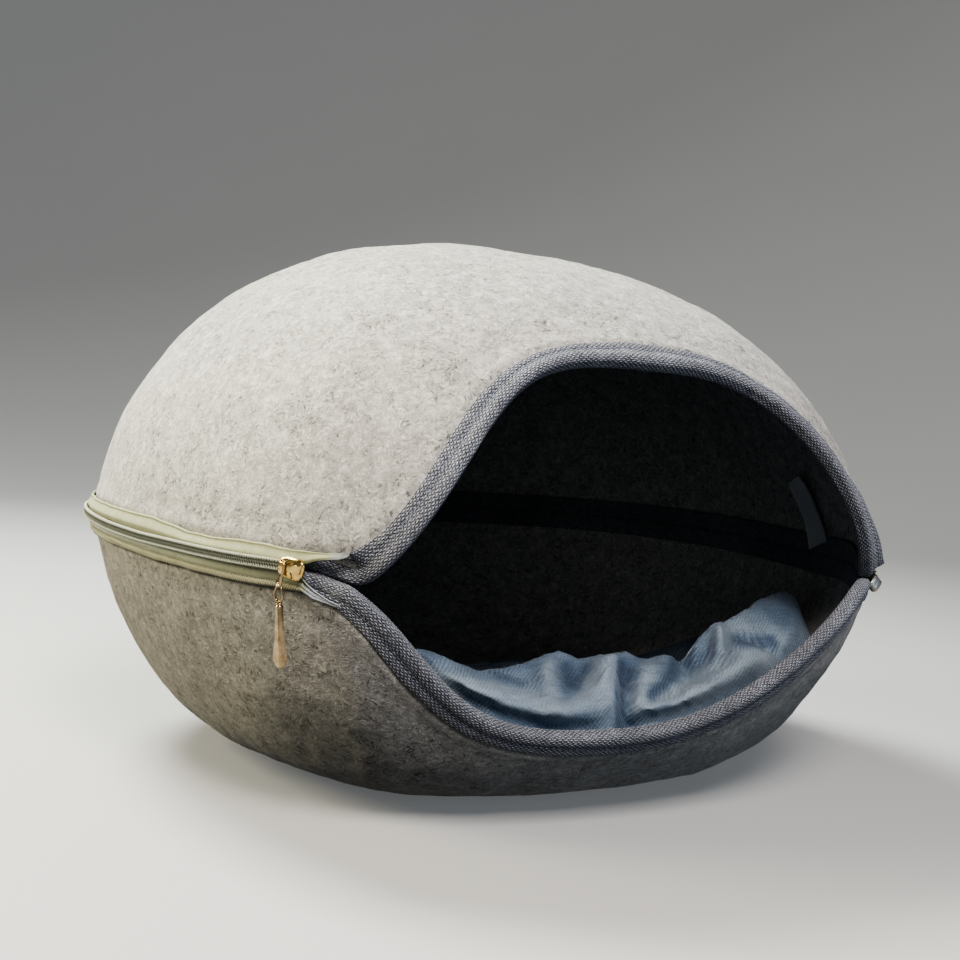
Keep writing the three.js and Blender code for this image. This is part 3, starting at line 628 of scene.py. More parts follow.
def metal_material(name, colour, dark, rough):
    m, t, b = new_material(name)
    N = Nodes(t)
    co = N.new("ShaderNodeTexCoord").outputs["Object"]
    n1 = N.noise(co, 160.0, 3.0, 0.6)
    n2 = N.noise(co, 900.0, 2.0, 0.6)
    N.link(N.mix(N.map_range(n1, 0.35, 0.7), (*colour, 1), (*dark, 1)), b.inputs["Base Color"])
    b.inputs["Metallic"].default_value = 1.0
    N.link(N.map_range(n1, 0.3, 0.7, rough * 0.75, rough * 1.5), b.inputs["Roughness"])
    N.link(N.bump(N.math("ADD", N.math("MULTIPLY", n2, 0.35), n1), 0.12, 0.0003), b.inputs["Normal"])
    return m


def thread_material(name, colour, dark):
    m, t, b = new_material(name)
    N = Nodes(t)
    co = N.new("ShaderNodeTexCoord").outputs["Object"]
    n = N.noise(co, 1600.0, 2.0, 0.6)
    N.link(N.mix(N.map_range(n, 0.35, 0.65), (*dark, 1), (*colour, 1)), b.inputs["Base Color"])
    b.inputs["Roughness"].default_value = 0.55
    b.inputs["Specular IOR Level"].default_value = 0.4
    N.link(N.bump(n, 0.4, 0.0001), b.inputs["Normal"])
    return m


def twill_material():
    m, t, b = new_material("denim_twill")
    N = Nodes(t)
    uv = N.new("ShaderNodeUVMap", uv_map="UVMap").outputs[0]
    sep = N.new("ShaderNodeSeparateXYZ")
    N.link(uv, sep.inputs[0])
    u, v = sep.outputs[0], sep.outputs[1]
    co = N.new("ShaderNodeTexCoord").outputs["Object"]
    wob = N.noise(co, 60.0, 2.0)
    diag = N.math("ADD", N.math("MULTIPLY", u, 0.80), N.math("MULTIPLY", v, -0.60))
    diag = N.math("ADD", diag, N.math("MULTIPLY", N.math("SUBTRACT", wob, 0.5), 0.0060))
    line = N.math("ADD", N.math("MULTIPLY", N.math("SINE", N.math("MULTIPLY", diag, 2 * PI / 0.00185)), 0.5), 0.5)
    along = N.math("ADD", N.math("MULTIPLY", u, 0.60), N.math("MULTIPLY", v, 0.80))
    cross = N.math("ADD", N.math("MULTIPLY", N.math("SINE", N.math("ADD", N.math("MULTIPLY", along, 2 * PI / 0.0011), N.math("MULTIPLY", line, 2.0))), 0.5), 0.5)
    fuzz = N.noise(co, 1100.0, 3.0, 0.65)
    slub = N.noise(N.mapping(uv, (60, 700, 1)), 1.0, 3.0, 0.6)
    big = N.noise(co, 28.0, 3.0, 0.6)
    here = N.map_range(N.noise(co, 34.0, 2.0), 0.40, 0.62, 0.30, 1.0, True)
    tone = N.math("ADD", N.math("MULTIPLY", N.math("MULTIPLY", line, here), 0.13), N.math("MULTIPLY", cross, 0.08))
    # painted shading: the front folds' relief makes the twill lighter on the fold crests and darker in the fold valleys
    painted_fold_shading = N.new("ShaderNodeAttribute")
    painted_fold_shading.attribute_name = "painted_fold_shading"
    tone = N.math("ADD", tone, N.map_range(painted_fold_shading.outputs["Fac"], -9.0, 9.0, -0.17, 0.20, True))
    tone = N.math("ADD", tone, N.math("MULTIPLY", fuzz, 0.36))
    tone = N.math("ADD", tone, N.math("MULTIPLY", slub, 0.22))
    tone = N.math("ADD", tone, N.math("MULTIPLY", big, 0.22))
    col = N.ramp(tone, [(0.18, (0.030, 0.048, 0.092)), (0.44, (0.120, 0.170, 0.238)), (0.78, (0.370, 0.440, 0.500))])
    N.link(col, b.inputs["Base Color"])
    b.inputs["Roughness"].default_value = 0.78
    b.inputs["Specular IOR Level"].default_value = 0.28
    b.inputs["Sheen Weight"].default_value = 0.55
    b.inputs["Sheen Roughness"].default_value = 0.35
    b.inputs["Sheen Tint"].default_value = (0.80, 0.88, 1.0, 1)
    h = N.math("ADD", N.math("MULTIPLY", N.math("MULTIPLY", line, here), 0.8), N.math("MULTIPLY", fuzz, 0.7))
    h = N.math("ADD", h, N.math("MULTIPLY", cross, 0.25))
    N.link(N.bump(h, 0.6, 0.0003), b.inputs["Normal"])
    return m


def tab_material():
    m, t, b = new_material("bare_tab")
    N = Nodes(t)
    uv = N.new("ShaderNodeUVMap", uv_map="UVMap").outputs[0]
    sep = N.new("ShaderNodeSeparateXYZ")
    N.link(uv, sep.inputs[0])
    co = N.new("ShaderNodeTexCoord").outputs["Object"]
    k = 2 * PI / 0.0007
    a = N.math("SINE", N.math("MULTIPLY", sep.outputs[0], k))
    c = N.math("SINE", N.math("MULTIPLY", sep.outputs[1], k * 1.4))
    w = N.math("ADD", N.math("MULTIPLY", N.math("MULTIPLY", a, c), 0.5), 0.5)
    n = N.noise(co, 300.0, 3.0)
    tone = N.math("ADD", N.math("MULTIPLY", w, 0.4), N.math("MULTIPLY", n, 0.6))
    N.link(N.mix(tone, (0.66, 0.70, 0.70, 1), (0.86, 0.88, 0.87, 1)), b.inputs["Base Color"])
    b.inputs["Roughness"].default_value = 0.55
    b.inputs["Specular IOR Level"].default_value = 0.35
    N.link(N.bump(w, 0.4, 0.00015), b.inputs["Normal"])
    return m


WEAVE = {"pitch": 2.9, "row": 1.0, "high": 0.24}
MAT = {
    "felt": felt_material(),
    "fibre": fibre_material("felt_fibre", (0.66, 0.655, 0.62), (0.26, 0.255, 0.25)),
    "lint": fibre_material("twill_lint", (0.34, 0.41, 0.47), (0.12, 0.18, 0.24)),
    "webbing": webbing_material(),
    "tape": tape_material("sage_tape", (0.465, 0.478, 0.322), (0.275, 0.290, 0.178)),
    # painted light: the lower tape is the same sage tape, made paler in colour than the upper one because it faces
    # down, away from the lamps
    "tape_low": tape_material("sage_tape_bordered", (0.500, 0.525, 0.410), (0.300, 0.320, 0.240), ((0.58, 0.575, 0.435), (0.27, 0.275, 0.185)), (0.58, 0.63, 0.74)),
    "coil": coil_material(),
    "gold": metal_material("pale_gold", (0.68, 0.50, 0.23), (0.40, 0.275, 0.115), 0.16),
    "bronze": metal_material("pull_bronze", (0.40, 0.30, 0.19), (0.19, 0.14, 0.085), 0.16),
    "clip": metal_material("bright_clip", (0.42, 0.40, 0.37), (0.24, 0.22, 0.19), 0.30),
    "thread": thread_material("slate_thread", (0.42, 0.46, 0.56), (0.16, 0.18, 0.24)),
    "pale_thread": thread_material("pale_thread", (0.60, 0.58, 0.46), (0.34, 0.33, 0.24)),
    "twill": twill_material(),
    "tab": tab_material(),
}


def finish_piece(obj, material, slot, *nodes):
    obj.data.materials.clear()
    obj.data.materials.append(MAT[material])
    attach(obj, "root")
    if nodes:
        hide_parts(*nodes)
    return obj


# ---------------------------------------------------------------------- shells
def run_of(points, stations, size=600):
    """Each point's distance from the nearest of the stations."""
    out = np.empty(len(points))
    for k in range(0, len(points), size):
        d = points[k:k + size, None, :] - stations[None]
        out[k:k + size] = np.sqrt((d * d).sum(-1).min(1))
    return out


def hollow(side, p):
    """How far the upper half draws in beside the left corner, where the zip ends."""
    if side != "up":
        return np.zeros(p.shape[:-1])
    c = skin("up", np.array(-CORNER["left"]), np.array(0.0))
    d = np.linalg.norm(p - c, axis=-1)
    return 8.0 * np.exp(-((d / 15.0) ** 2))


def felt_offset(leg, t):
    """How far the felt's outer face stands off the plain skin, t from the rim:
    pinched under the binding and plumped up beside it."""
    edge = leg - t
    under = 1 / (1 + np.exp(-edge / 0.5))
    plump = np.exp(-(((t - leg - 3.2) / 3.4) ** 2))
    return -0.35 * under + 0.75 * plump * (1 - under)


def shell_piece(side, node, n_door=160, n_back=200):
    q = rim(side, n_door, n_back)
    near_rows = np.linspace(0, 1, 7)
    far = np.linspace(0, 1, 54)[1:-1]
    TH, A = [], []
    for f in near_rows:
        TH.append(q["th"] + (q["th1"] - q["th"]) * f)
        A.append(q["a"] + (q["a1"] - q["a"]) * f)
    for f in far:
        ease = f * f * (3 - 2 * f)
        TH.append(q["th1"] + (q["top"] - q["th1"]) * ease)
        # every column ends on one small ring about the pole
        A.append(q["a1"] + (0.985 * PI / 2 - q["a1"]) * (f * 53 / 52))
    TH, A = np.array(TH), np.array(A)
    # even the columns out where they crowd together beyond a corner
    turn = 2 * PI
    for _ in range(90):
        left = np.roll(TH, 1, 1)
        left[:, 0] -= turn
        rightw = np.roll(TH, -1, 1)
        rightw[:, -1] += turn
        TH[1:-1] = 0.5 * TH[1:-1] + 0.5 * (0.36 * (left + rightw)[1:-1] + 0.14 * (TH[:-2] + TH[2:]))
        A[1:-1] = 0.5 * A[1:-1] + 0.5 * (0.36 * (np.roll(A, 1, 1) + np.roll(A, -1, 1))[1:-1] + 0.14 * (A[:-2] + A[2:]))
    P = skin(side, TH, A)
    T = run_of(P.reshape(-1, 3), q["p"]).reshape(P.shape[:2])
    leg = np.broadcast_to(leg_of(side, q)[None, :], T.shape)
    Nn = normal_at(side, TH, A)
    swell = 0.34 * waves(P, 60.0, 3) + 0.14 * waves(P, 16.0, 4)
    fade = np.clip((T - 8) / 30, 0, 1)
    if side == "low":
        # the base stays flat where it stands
        fade = fade * np.clip((P[..., 2] + BASE["depth"]) / 12.0, 0, 1)
    draw = hollow(side, P) * np.clip((11.0 - T) / 6.0, 0, 1)
    out = felt_offset(leg, T) + swell * fade - draw
    outer = P + Nn * out[..., None]
    inner_rows = np.unique(np.concatenate([np.arange(7), np.arange(7, len(P), 2), [len(P) - 1]]))
    inner = (P - Nn * (FELT - 0.5 * swell * fade + draw)[..., None])[inner_rows]
    pole = skin(side, np.array(0.0), np.array(PI / 2))
    up = 1 if side == "up" else -1
    m, n = P.shape[:2]
    m2 = len(inner_rows)
    if side == "up":
        # let the last rows and the pole agree
        pole = pole + [0, 0, float(outer[-1, :, 2].mean() - P[-1, :, 2].mean())]
    pts = np.concatenate([outer.reshape(-1, 3), [pole], inner.reshape(-1, 3), [pole - [0, 0, up * FELT]]])
    half = m * n + 1
    a = grid_faces(m, n, ring_m=True)
    b = grid_faces(m2, n, ring_m=True, start=half)[:, ::-1]
    j = np.arange(n)
    j2 = (j + 1) % n
    lip = np.stack([j2, j, half + j, half + j2], -1)
    tri_a = np.stack([(m - 1) * n + j2, np.full(n, m * n), (m - 1) * n + j], -1)
    tri_b = np.stack([half + (m2 - 1) * n + j, np.full(n, half + m2 * n), half + (m2 - 1) * n + j2], -1)
    faces = [np.concatenate([a, b, lip]), np.concatenate([tri_a, tri_b])]
    faces = outward(pts, faces)
    obj = make(node, pts, faces)
    finish_piece(obj, "felt", "felt", "shell_upper" if side == "up" else "shell_lower")
    return obj, q, (P, Nn, T, out)


def needles(name, base, direction, length, width, material, slot):
    """Loose fibre ends: thin closed needles, each four triangles."""
    n = len(base)
    d = unit(direction)
    ref = np.where(np.abs(d[:, 2:3]) < 0.9, [[0, 0, 1.0]], [[1.0, 0, 0]])
    e1 = unit(np.cross(d, ref))
    e2 = np.cross(d, e1)
    w = width[:, None]
    corners = [base + w * (math.cos(k) * e1 + math.sin(k) * e2) for k in (0, 2 * PI / 3, 4 * PI / 3)]
    tip = base + d * length[:, None]
    pts = np.stack([*corners, tip], 1).reshape(-1, 3)
    i = np.arange(n)[:, None] * 4
    f = np.concatenate([i + [0, 2, 1], i + [0, 1, 3], i + [1, 2, 3], i + [2, 0, 3]])
    obj = make(name, pts, [f], smooth=False)
    return finish_piece(obj, material, slot)


def fuzz_piece(side, name, surface, count, seed):
    P, Nn, T, out = surface
    g = np.random.default_rng(seed)
    # choose cells by their area
    a = P[:-1, :]
    b = P[1:, :]
    area = np.linalg.norm(np.cross(np.roll(P, -1, 1)[:-1] - a, b - a), axis=-1)
    area = np.where(T[:-1] > 12.0, area, 0)
    if side == "low":
        area = np.where(P[:-1, :, 2] > -BASE["depth"] + 1.5, area, 0)
    pick = g.choice(area.size, count, p=(area / area.sum()).reshape(-1))
    i, j = np.unravel_index(pick, area.shape)
    j2 = (j + 1) % P.shape[1]
    f, h = g.random(count)[:, None], g.random(count)[:, None]
    surf = P + Nn * out[..., None]
    p = (surf[i, j] * (1 - f) + surf[i + 1, j] * f) * (1 - h) + (surf[i, j2] * (1 - f) + surf[i + 1, j2] * f) * h
    n = unit(Nn[i, j])
    d = g.normal(size=(count, 3))
    d = unit(d - n * (d * n).sum(-1, keepdims=True))
    lift = np.abs(g.normal(0, 0.22, count)) + 0.03
    lift = np.where(g.random(count) < 0.10, lift + g.uniform(0.2, 0.9, count), lift)
    length = g.uniform(1.0, 3.2, count) * np.where(lift > 0.6, 0.6, 1.0)
    width = g.uniform(0.022, 0.05, count)
    return needles(name, p - n * 0.10, d + n * lift[:, None], length, width, "fibre", "felt")


shell_up, rim_up, surf_up = shell_piece("up", "felt_upper")
shell_low, rim_low, surf_low = shell_piece("low", "felt_lower")
fuzz_piece("up", "felt_upper_fibres", surf_up, 23000, 11)
fuzz_piece("low", "felt_lower_fibres", surf_low, 20000, 12)


# -------------------------------------------------------------------- bindings
def weave_bump(u, v):
    """The woven floats as height, 0 to 1, at u along and v across, in mm."""
    r = np.floor(v / WEAVE["row"])
    vv = v / WEAVE["row"] - r - 0.5
    odd = np.mod(r + 1000, 2)
    ph = u / WEAVE["pitch"] + odd * 0.5 + (0.30 - 0.60 * odd) * vv
    c = 0.5 + 0.5 * np.cos(2 * PI * ph)
    edge = np.clip(1 - np.abs(2 * vv) ** 2.6, 0, 1)
    return c ** 0.85 * edge ** 0.7


STITCH = {"up": 0.58, "low": 0.48}


def fold_path(side, leg, inside, bulge):
    """The webbing's outer face in a section: (t, n) from the outer leg's edge round the
    fold to the inner leg's edge. Sewn down along its stitch line, it swells over the rim."""
    low, nose, r = -FELT - 1.75, -1.8, 2.35
    st = leg * STITCH[side]
    pts = []
    for t in np.linspace(leg, 0.55, 44, endpoint=False):
        thin = 0.30 * math.exp(-(((t - leg) / 1.1) ** 2))
        outside = 1.42 - thin
        over = 1.55 + bulge * math.exp(-(((t - 1.6) / 2.6) ** 2))
        f = 1 / (1 + math.exp(-(t - st) / 0.45))
        pinch = 0.42 * math.exp(-(((t - st) / 0.85) ** 2)) * min(1.0, bulge / 0.5)
        pts.append((t, over * (1 - f) + outside * f - pinch))
    top = pts[-1][1]
    c1 = (nose + r, top - r)
    for a in np.linspace(PI / 2, PI, 15):
        pts.append((c1[0] + r * math.cos(a), c1[1] + r * math.sin(a)))
    c2 = (nose + r, low + r)
    for t in np.linspace(c1[1], c2[1], 9)[1:-1]:
        pts.append((nose, t))
    for a in np.linspace(PI, 1.5 * PI, 8):
        pts.append((c2[0] + r * math.cos(a), c2[1] + r * math.sin(a)))
    for t in np.linspace(c2[0], inside, 9)[1:]:
        pts.append((t, low + 0.2 * min(t / 6.0, 1.0)))
    p = np.array(pts)
    d = np.gradient(p, axis=0)
    nrm = np.stack([-d[:, 1], d[:, 0]], -1)
    nrm = nrm / np.linalg.norm(nrm, axis=1, keepdims=True)
    if nrm[0, 1] < 0:
        nrm = -nrm
    run = np.concatenate([[0], np.cumsum(np.linalg.norm(np.diff(p, axis=0), axis=1))])
    k0 = int(np.argmax(p[:, 0] <= 0.6))
    return p, nrm, run - run[k0]


def binding_piece(side, node, n_door, n_back=120):
    q = rim(side, n_door, n_back)
    share = zip_share(q)
    legs = leg_of(side, q)
    n = len(q["th"])
    # sections worked out for a few widths and bulges, and then mixed station by station
    paths = {}
    t_out, n_out, nt, nn_, v = [], [], [], [], []
    for i in range(n):
        key = (round(float(legs[i]), 1), round(0.75 * (1 - float(share[i])), 1))
        if key not in paths:
            paths[key] = fold_path(side, key[0], LEG["inside"], key[1])
        p, nrm, run = paths[key]
        t_out.append(p[:, 0])
        n_out.append(p[:, 1])
        nt.append(nrm[:, 0])
        nn_.append(nrm[:, 1])
        v.append(run)
    t_out, n_out, nt, nn_, v = (np.array(x) for x in (t_out, n_out, nt, nn_, v))
    # rounding left small steps between stations
    for arr in (t_out, n_out, nt, nn_, v):
        arr[:] = (np.roll(arr, 1, 0) + 2 * arr + np.roll(arr, -1, 0)) / 4
    K = t_out.shape[1]
    fade = np.where(q["back"], 0.30, 1.0)
    u = np.repeat(q["s"][:, None], K, 1)
    h = weave_bump(u, v) * WEAVE["high"] * fade[:, None]
    h = np.where(n_out < -3.4, h * 0.35, h)
    # gentle slackness of the webbing
    base_p = beside(side, q, np.full(n, 4.0), np.zeros(n))
    h = h + 0.15 * waves(base_p, 34.0, 7)[:, None] * np.where(n_out > -3, 1, 0)
    th, th1 = q["th"][:, None], q["th1"][:, None]
    a0, a1 = q["a"][:, None], q["a1"][:, None]
    # at the left corner the upper webbing turns in behind the zip
    sink = hollow(side, q["p"])
    lift = np.zeros(n)
    run_on = np.zeros((n, 3))
    if side == "up":
        d = door_length(q) - q["s"]
        lift = np.where(q["back"], 0, np.clip(1 - d / 78.0, 0, 1) ** 1.35)
        on = np.where(q["back"], 0, np.clip(1 - d / 16.0, 0, 1)) * 6.5
        run_on = unit(np.roll(q["p"], -1, 0) - np.roll(q["p"], 1, 0))
        k_end = int(np.argmax(q["back"]))
        run_on = run_on[k_end - 6] * on[:, None]

    def place(t, nn):
        # behind the zip the two folds close up on the inside
        t = t - 0.40 * q["back"][:, None] * np.clip((-nn - 1.5) / 2.0, 0, 1) * np.clip(1 - (t + 1.8) / 3.0, 0, 1)
        ff = np.clip(t, 0, None) / ROW1
        TH, A = th + (th1 - th) * ff, a0 + (a1 - a0) * ff
        P = skin(side, TH, A) + q["in"][:, None, :] * np.minimum(t, 0)[..., None]
        nn = nn - sink[:, None] * np.clip((12.0 - t) / 6.0, 0, 1)
        # towards the right corner the outer leg peels off the felt
        nn = nn + lift[:, None] * 9.0 * np.clip((t - 1.0) / 8.0, 0, 1) ** 1.2 * (nn > -3)
        P = P + run_on[:, None, :] * (np.clip((t - 2.5) / 6.0, 0, 1) * (nn > -3))[..., None]
        return P + normal_at(side, TH, A) * nn[..., None]

    outer = place(t_out + nt * h, n_out + nn_ * h)
    inner = place(t_out - nt * (WEB - 0.1), n_out - nn_ * (WEB - 0.1))
    # fewer points on the hidden inner face
    keep = np.unique(np.concatenate([np.arange(0, K, 6), [K - 1]]))
    sec = np.concatenate([outer, inner[:, keep[::-1]]], 1)
    k = sec.shape[1]
    uu = np.concatenate([u, u[:, keep[::-1]]], 1)
    vv = np.concatenate([v, v[:, keep[::-1]] + 40.0], 1)
    pts = sec.reshape(-1, 3)
    faces = outward(pts, [grid_faces(n, k, ring_n=True, ring_m=True)])
    # UVs are set per corner, so that the ring closes without a seam running back
    uv_pt = np.stack([uu, vv], -1).reshape(-1, 2)
    fl = faces[0]
    uv = uv_pt[fl]
    last = (fl // k == 0) & ((fl // k).max(1, keepdims=True) == n - 1)
    uv[..., 0] = np.where(last, q["total"], uv[..., 0])
    obj = make(node, pts, faces, uv=uv.reshape(-1, 2) / 1000.0)
    finish_piece(obj, "webbing", "webbing", "binding_upper" if side == "up" else "binding_lower")
    return obj, q


def door_length(q):
    return float(q["s"][np.argmax(q["back"])])


binding_up, bq_up = binding_piece("up", "webbing_upper", 600)
binding_low, bq_low = binding_piece("low", "webbing_lower", 540)


# --------------------------------------------------------------------- stitches
def capsules(p0, p1, lift, r, sides=6):
    """Stitches from p0 to p1, bowed by lift at their middle."""
    n = len(p0)
    rings = [(0.0, 0.35, 0.0), (0.12, 0.9, 0.45), (0.5, 1.0, 1.0), (0.88, 0.9, 0.45), (1.0, 0.35, 0.0)]
    d = unit(p1 - p0)
    up = unit(lift - d * (lift * d).sum(-1, keepdims=True))
    sd = np.cross(d, up)
    sec = []
    for f, rr, hh in rings:
        c = p0 + (p1 - p0) * f + lift * hh
        ring = [c + (math.cos(a) * sd + math.sin(a) * up) * r * rr for a in np.arange(sides) * 2 * PI / sides]
        sec.append(np.stack(ring, 1))
    sec = np.stack(sec, 1)          # n, rings, sides, 3
    k = len(rings)
    pts = sec.reshape(-1, 3)
    g = grid_faces(k, sides, ring_m=True)
    quads = (np.arange(n)[:, None, None] * (k * sides) + g[None]).reshape(-1, 4)
    cap0 = np.arange(sides)[::-1]
    cap1 = (k - 1) * sides + np.arange(sides)
    caps = (np.arange(n)[:, None, None] * (k * sides) + np.stack([cap0, cap1])[None]).reshape(-1, sides)
    faces = outward(pts, [quads, caps])
    return pts, faces


def along_rim(side, q, lo, hi, pitch, t, n, gap=0.22):
    """End points of stitches along a rim between arc lengths lo and hi (mm)."""
    s0 = np.arange(lo, hi - pitch, pitch)
    s1 = s0 + pitch * (1 - gap)

    def at(s):
        run = np.concatenate([q["s"], [q["total"]]])
        out = {}
        for key in ("th", "a", "th1", "a1"):
            val = q[key]
            ext = np.concatenate([val, [val[0] + (2 * PI if key.startswith("th") else 0)]])
            out[key] = np.interp(s, run, ext)
        for key in ("in", "n"):
            ext = np.concatenate([q[key], q[key][:1]])
            out[key] = unit(np.stack([np.interp(s, run, ext[:, k]) for k in range(3)], -1))
        return out

    a, b = at(s0), at(s1)
    t0, t1 = (t * np.interp(x, *LEG_ALONG[side]) for x in (s0, s1))
    return beside(side, a, t0, np.full(len(s0), n)), beside(side, b, t1, np.full(len(s0), n)), a["n"]


parts = []
for side, q in (("up", bq_up), ("low", bq_low)):
    L = door_length(q)
    p0, p1, nn = along_rim(side, q, 14.0 if side == "up" else 4.0, L - (60.0 if side == "up" else 3.0), 3.2, STITCH[side], 1.30)
    pts, faces = capsules(p0, p1, nn * 0.22, 0.26)
    parts.append((pts, faces, None))
pts, faces, _ = join_parts(parts)
stitches = make("binding_stitches", pts, faces)
finish_piece(stitches, "thread", "webbing")


# -------------------------------------------------------------------------- zip
TAPE_UP = 8.4
TAPE_LOW = 11.6


def back_stations(side, lo, hi, n):
    """Stations on the back of a rim between two plan angles, in order from right to left."""
    th = np.linspace(lo, hi, n)
    q = {"th": th, "a": angle_of_rise(side, th, SPLIT / SHAPE[side]["H"]), "back": np.ones(n, bool)}
    q["p"] = skin(side, q["th"], q["a"])
    q["n"] = normal_at(side, q["th"], q["a"])
    along = unit(np.gradient(q["p"], axis=0))
    along = unit(along - q["n"] * (along * q["n"]).sum(-1, keepdims=True))
    inn = unit(np.cross(q["n"], along))
    flip = inn[:, 2:3] * (1 if side == "up" else -1) < 0
    q["along"], q["in"] = along, np.where(flip, -inn, inn)
    step = np.linalg.norm(np.diff(q["p"], axis=0), axis=1)
    q["s"] = np.concatenate([[0], np.cumsum(step)])
    q["th1"], q["a1"] = walk(side, q, ROW1)
    return q


# far edge and near edge of each tape by length from the left corner
TAPE_EDGE = {
    "up": ([0, 2.5, 7.5, 13.8, 20, 26, 32, 42, 57, 76, 95, 112, 130, 200],
           [14.4, 14.0, 12.8, 10.4, 9.0, 8.1, 8.2, 8.8, 8.7, 7.5, 7.2, 8.6, 9.6, 8.6]),
    "low": ([0, 5, 12, 17, 20, 26, 35, 57, 76, 95, 130],
            [9.6, 9.8, 10.6, 9.8, 10.0, 10.8, 10.8, 11.2, 11.3, 11.6, 12.0]),
}
TAPE_NEAR = {
    "up": ([0, 2.5, 7.5, 10, 13.8, 18.5, 23, 30], [13.4, 11.6, 9.7, 8.7, 6.8, 3.3, 1.0, 0.9]),
    "low": ([0, 5, 12, 17.5, 20, 26, 32], [8.6, 7.9, 6.6, 4.8, 2.9, 0.9, 0.7]),
}


def tape_piece(side, node):
    lo = CORNER["right"] + 0.6 * DEG
    hi = 2 * PI - CORNER["left"]
    th_mid = 2 * PI - 100 * DEG
    # finer where the doorway's side shows it
    a = back_stations(side, lo, th_mid, 1200)
    b = back_stations(side, th_mid, hi, 800)
    total = float(a["s"][-1] + b["s"][-1])
    want = np.concatenate([np.linspace(0, a["s"][-1], 230)[:-1], a["s"][-1] + np.linspace(0, b["s"][-1], 170)])
    run = np.concatenate([a["s"], a["s"][-1] + b["s"][1:]])
    q = {"s": want}
    for key in ("th", "a", "th1", "a1"):
        q[key] = np.interp(want, run, np.concatenate([a[key], b[key][1:]]))
    for key in ("in", "n", "p"):
        full = np.concatenate([a[key], b[key][1:]])
        q[key] = np.stack([np.interp(want, run, full[:, k]) for k in range(3)], -1)
    q["in"], q["n"] = unit(q["in"]), unit(q["n"])
    left = total - want             # distance from the left corner
    right = want
    far_h = np.interp(left, *TAPE_EDGE[side])
    near_h = np.interp(left, *TAPE_NEAR[side])
    for arr in (far_h, near_h):
        arr[1:-1] = (arr[:-2] + 2 * arr[1:-1] + arr[2:]) / 4
    f = np.clip(1 - left / 22.0, 0, 1)
    f = f * f * (3 - 2 * f)
    # profile across the tape: share from the meeting line to the far edge, and height
    if side == "up":
        prof = [(0.0, 3.6), (0.10, 3.9), (0.26, 4.3), (0.36, 4.35), (0.50, 3.9), (0.66, 3.2), (0.80, 2.65), (0.87, 2.60), (0.925, 2.95), (0.96, 2.9), (0.985, 2.2), (1.0, 1.2)]
    else:
        prof = [(0.0, 3.4), (0.10, 3.0), (0.18, 2.35), (0.27, 2.10), (0.36, 2.45), (0.46, 3.15), (0.58, 3.25), (0.66, 3.0), (0.70, 2.75), (0.76, 3.3), (0.88, 3.3), (0.96, 2.9), (1.0, 1.9)]
    fs = np.linspace(0, 1, 30)
    hs = np.interp(fs, *zip(*prof))
    hs = np.convolve(np.pad(hs, 1, mode="edge"), [0.22, 0.56, 0.22], "valid")
    H = near_h[:, None] + (far_h - near_h)[:, None] * fs[None, :]
    # the free end: flat, standing off, its near edge turned up
    if side == "up":
        free = 3.0 + 0.9 * (1 - fs[None, :]) + 0.3 * np.cos(fs[None, :] * PI)
    else:
        free = 3.3 + 1.4 * (1 - fs[None, :]) ** 1.5 + 0.7 * fs[None, :] ** 2
    Nn = hs[None, :] * (1 - f[:, None]) + free * f[:, None]
    if side == "up":
        # its tip goes in under the webbing
        Nn = Nn - 2.6 * np.clip((4.5 - left) / 4.5, 0, 1)[:, None]
    # the right end stands off a little
    g = np.clip(1 - right / 12.0, 0, 1) ** 1.5
    Nn = Nn - 0.8 * g[:, None]
    # soft unevenness of the sewing
    wob = waves(q["p"], 26.0, 21 if side == "up" else 22)
    H = H + (0.13 * wob)[:, None] * fs[None, :] ** 2
    Nn = Nn + 0.12 * waves(q["p"], 18.0, 23)[:, None]
    if side == "low":
        # whipped edge: slanting stitches as small ribs
        ph = want[:, None] / 1.3 + H / 2.6
        Nn = Nn + 0.15 * np.cos(2 * PI * ph) * np.clip((fs[None, :] - 0.70) / 0.06, 0, 1) * (1 - f[:, None])
    thick = 0.75
    th, th1, a0, a1 = (q[k][:, None] for k in ("th", "th1", "a", "a1"))

    def place(h, nn):
        t = h - SPLIT
        ff = np.clip(t, 0, None) / ROW1
        TH, A = th + (th1 - th) * ff, a0 + (a1 - a0) * ff
        P = skin(side, TH, A) + q["in"][:, None, :] * np.minimum(t, 0)[..., None]
        return P + normal_at(side, TH, A) * nn[..., None]

    outer = place(H, Nn)
    k_in = np.arange(0, 30, 4)[::-1]
    k_in = np.concatenate([[29], k_in[k_in < 29]])
    inner = place(H[:, k_in], np.maximum(Nn - thick, 1.75)[:, k_in])
    sec = np.concatenate([outer, inner], 1)
    k = sec.shape[1]
    pts, faces = loft(sec, False)
    uu = np.repeat(q["s"][:, None], k, 1)
    vv = np.concatenate([H, H[:, k_in]], 1)
    # the free end has no whipped border, and has bleached
    vv = vv - 24.0 * np.clip(3.4 * f[:, None] if side == "low" else 1.25 * f[:, None] ** 1.3, 0, 1)
    uv = np.stack([uu, vv], -1).reshape(-1, 2)
    uv = np.concatenate([uv, [[0, 0], [total, 0]]]) / 1000.0
    obj = make(node, pts, faces, uv=uv)
    finish_piece(obj, "tape" if side == "up" else "tape_low", "tape", "zip_tape_upper" if side == "up" else "zip_tape_lower")
    q["total"] = total
    return obj, q


tape_up, tq_up = tape_piece("up", "tape_upper")
tape_low, tq_low = tape_piece("low", "tape_lower")

TOOTH = 1.42


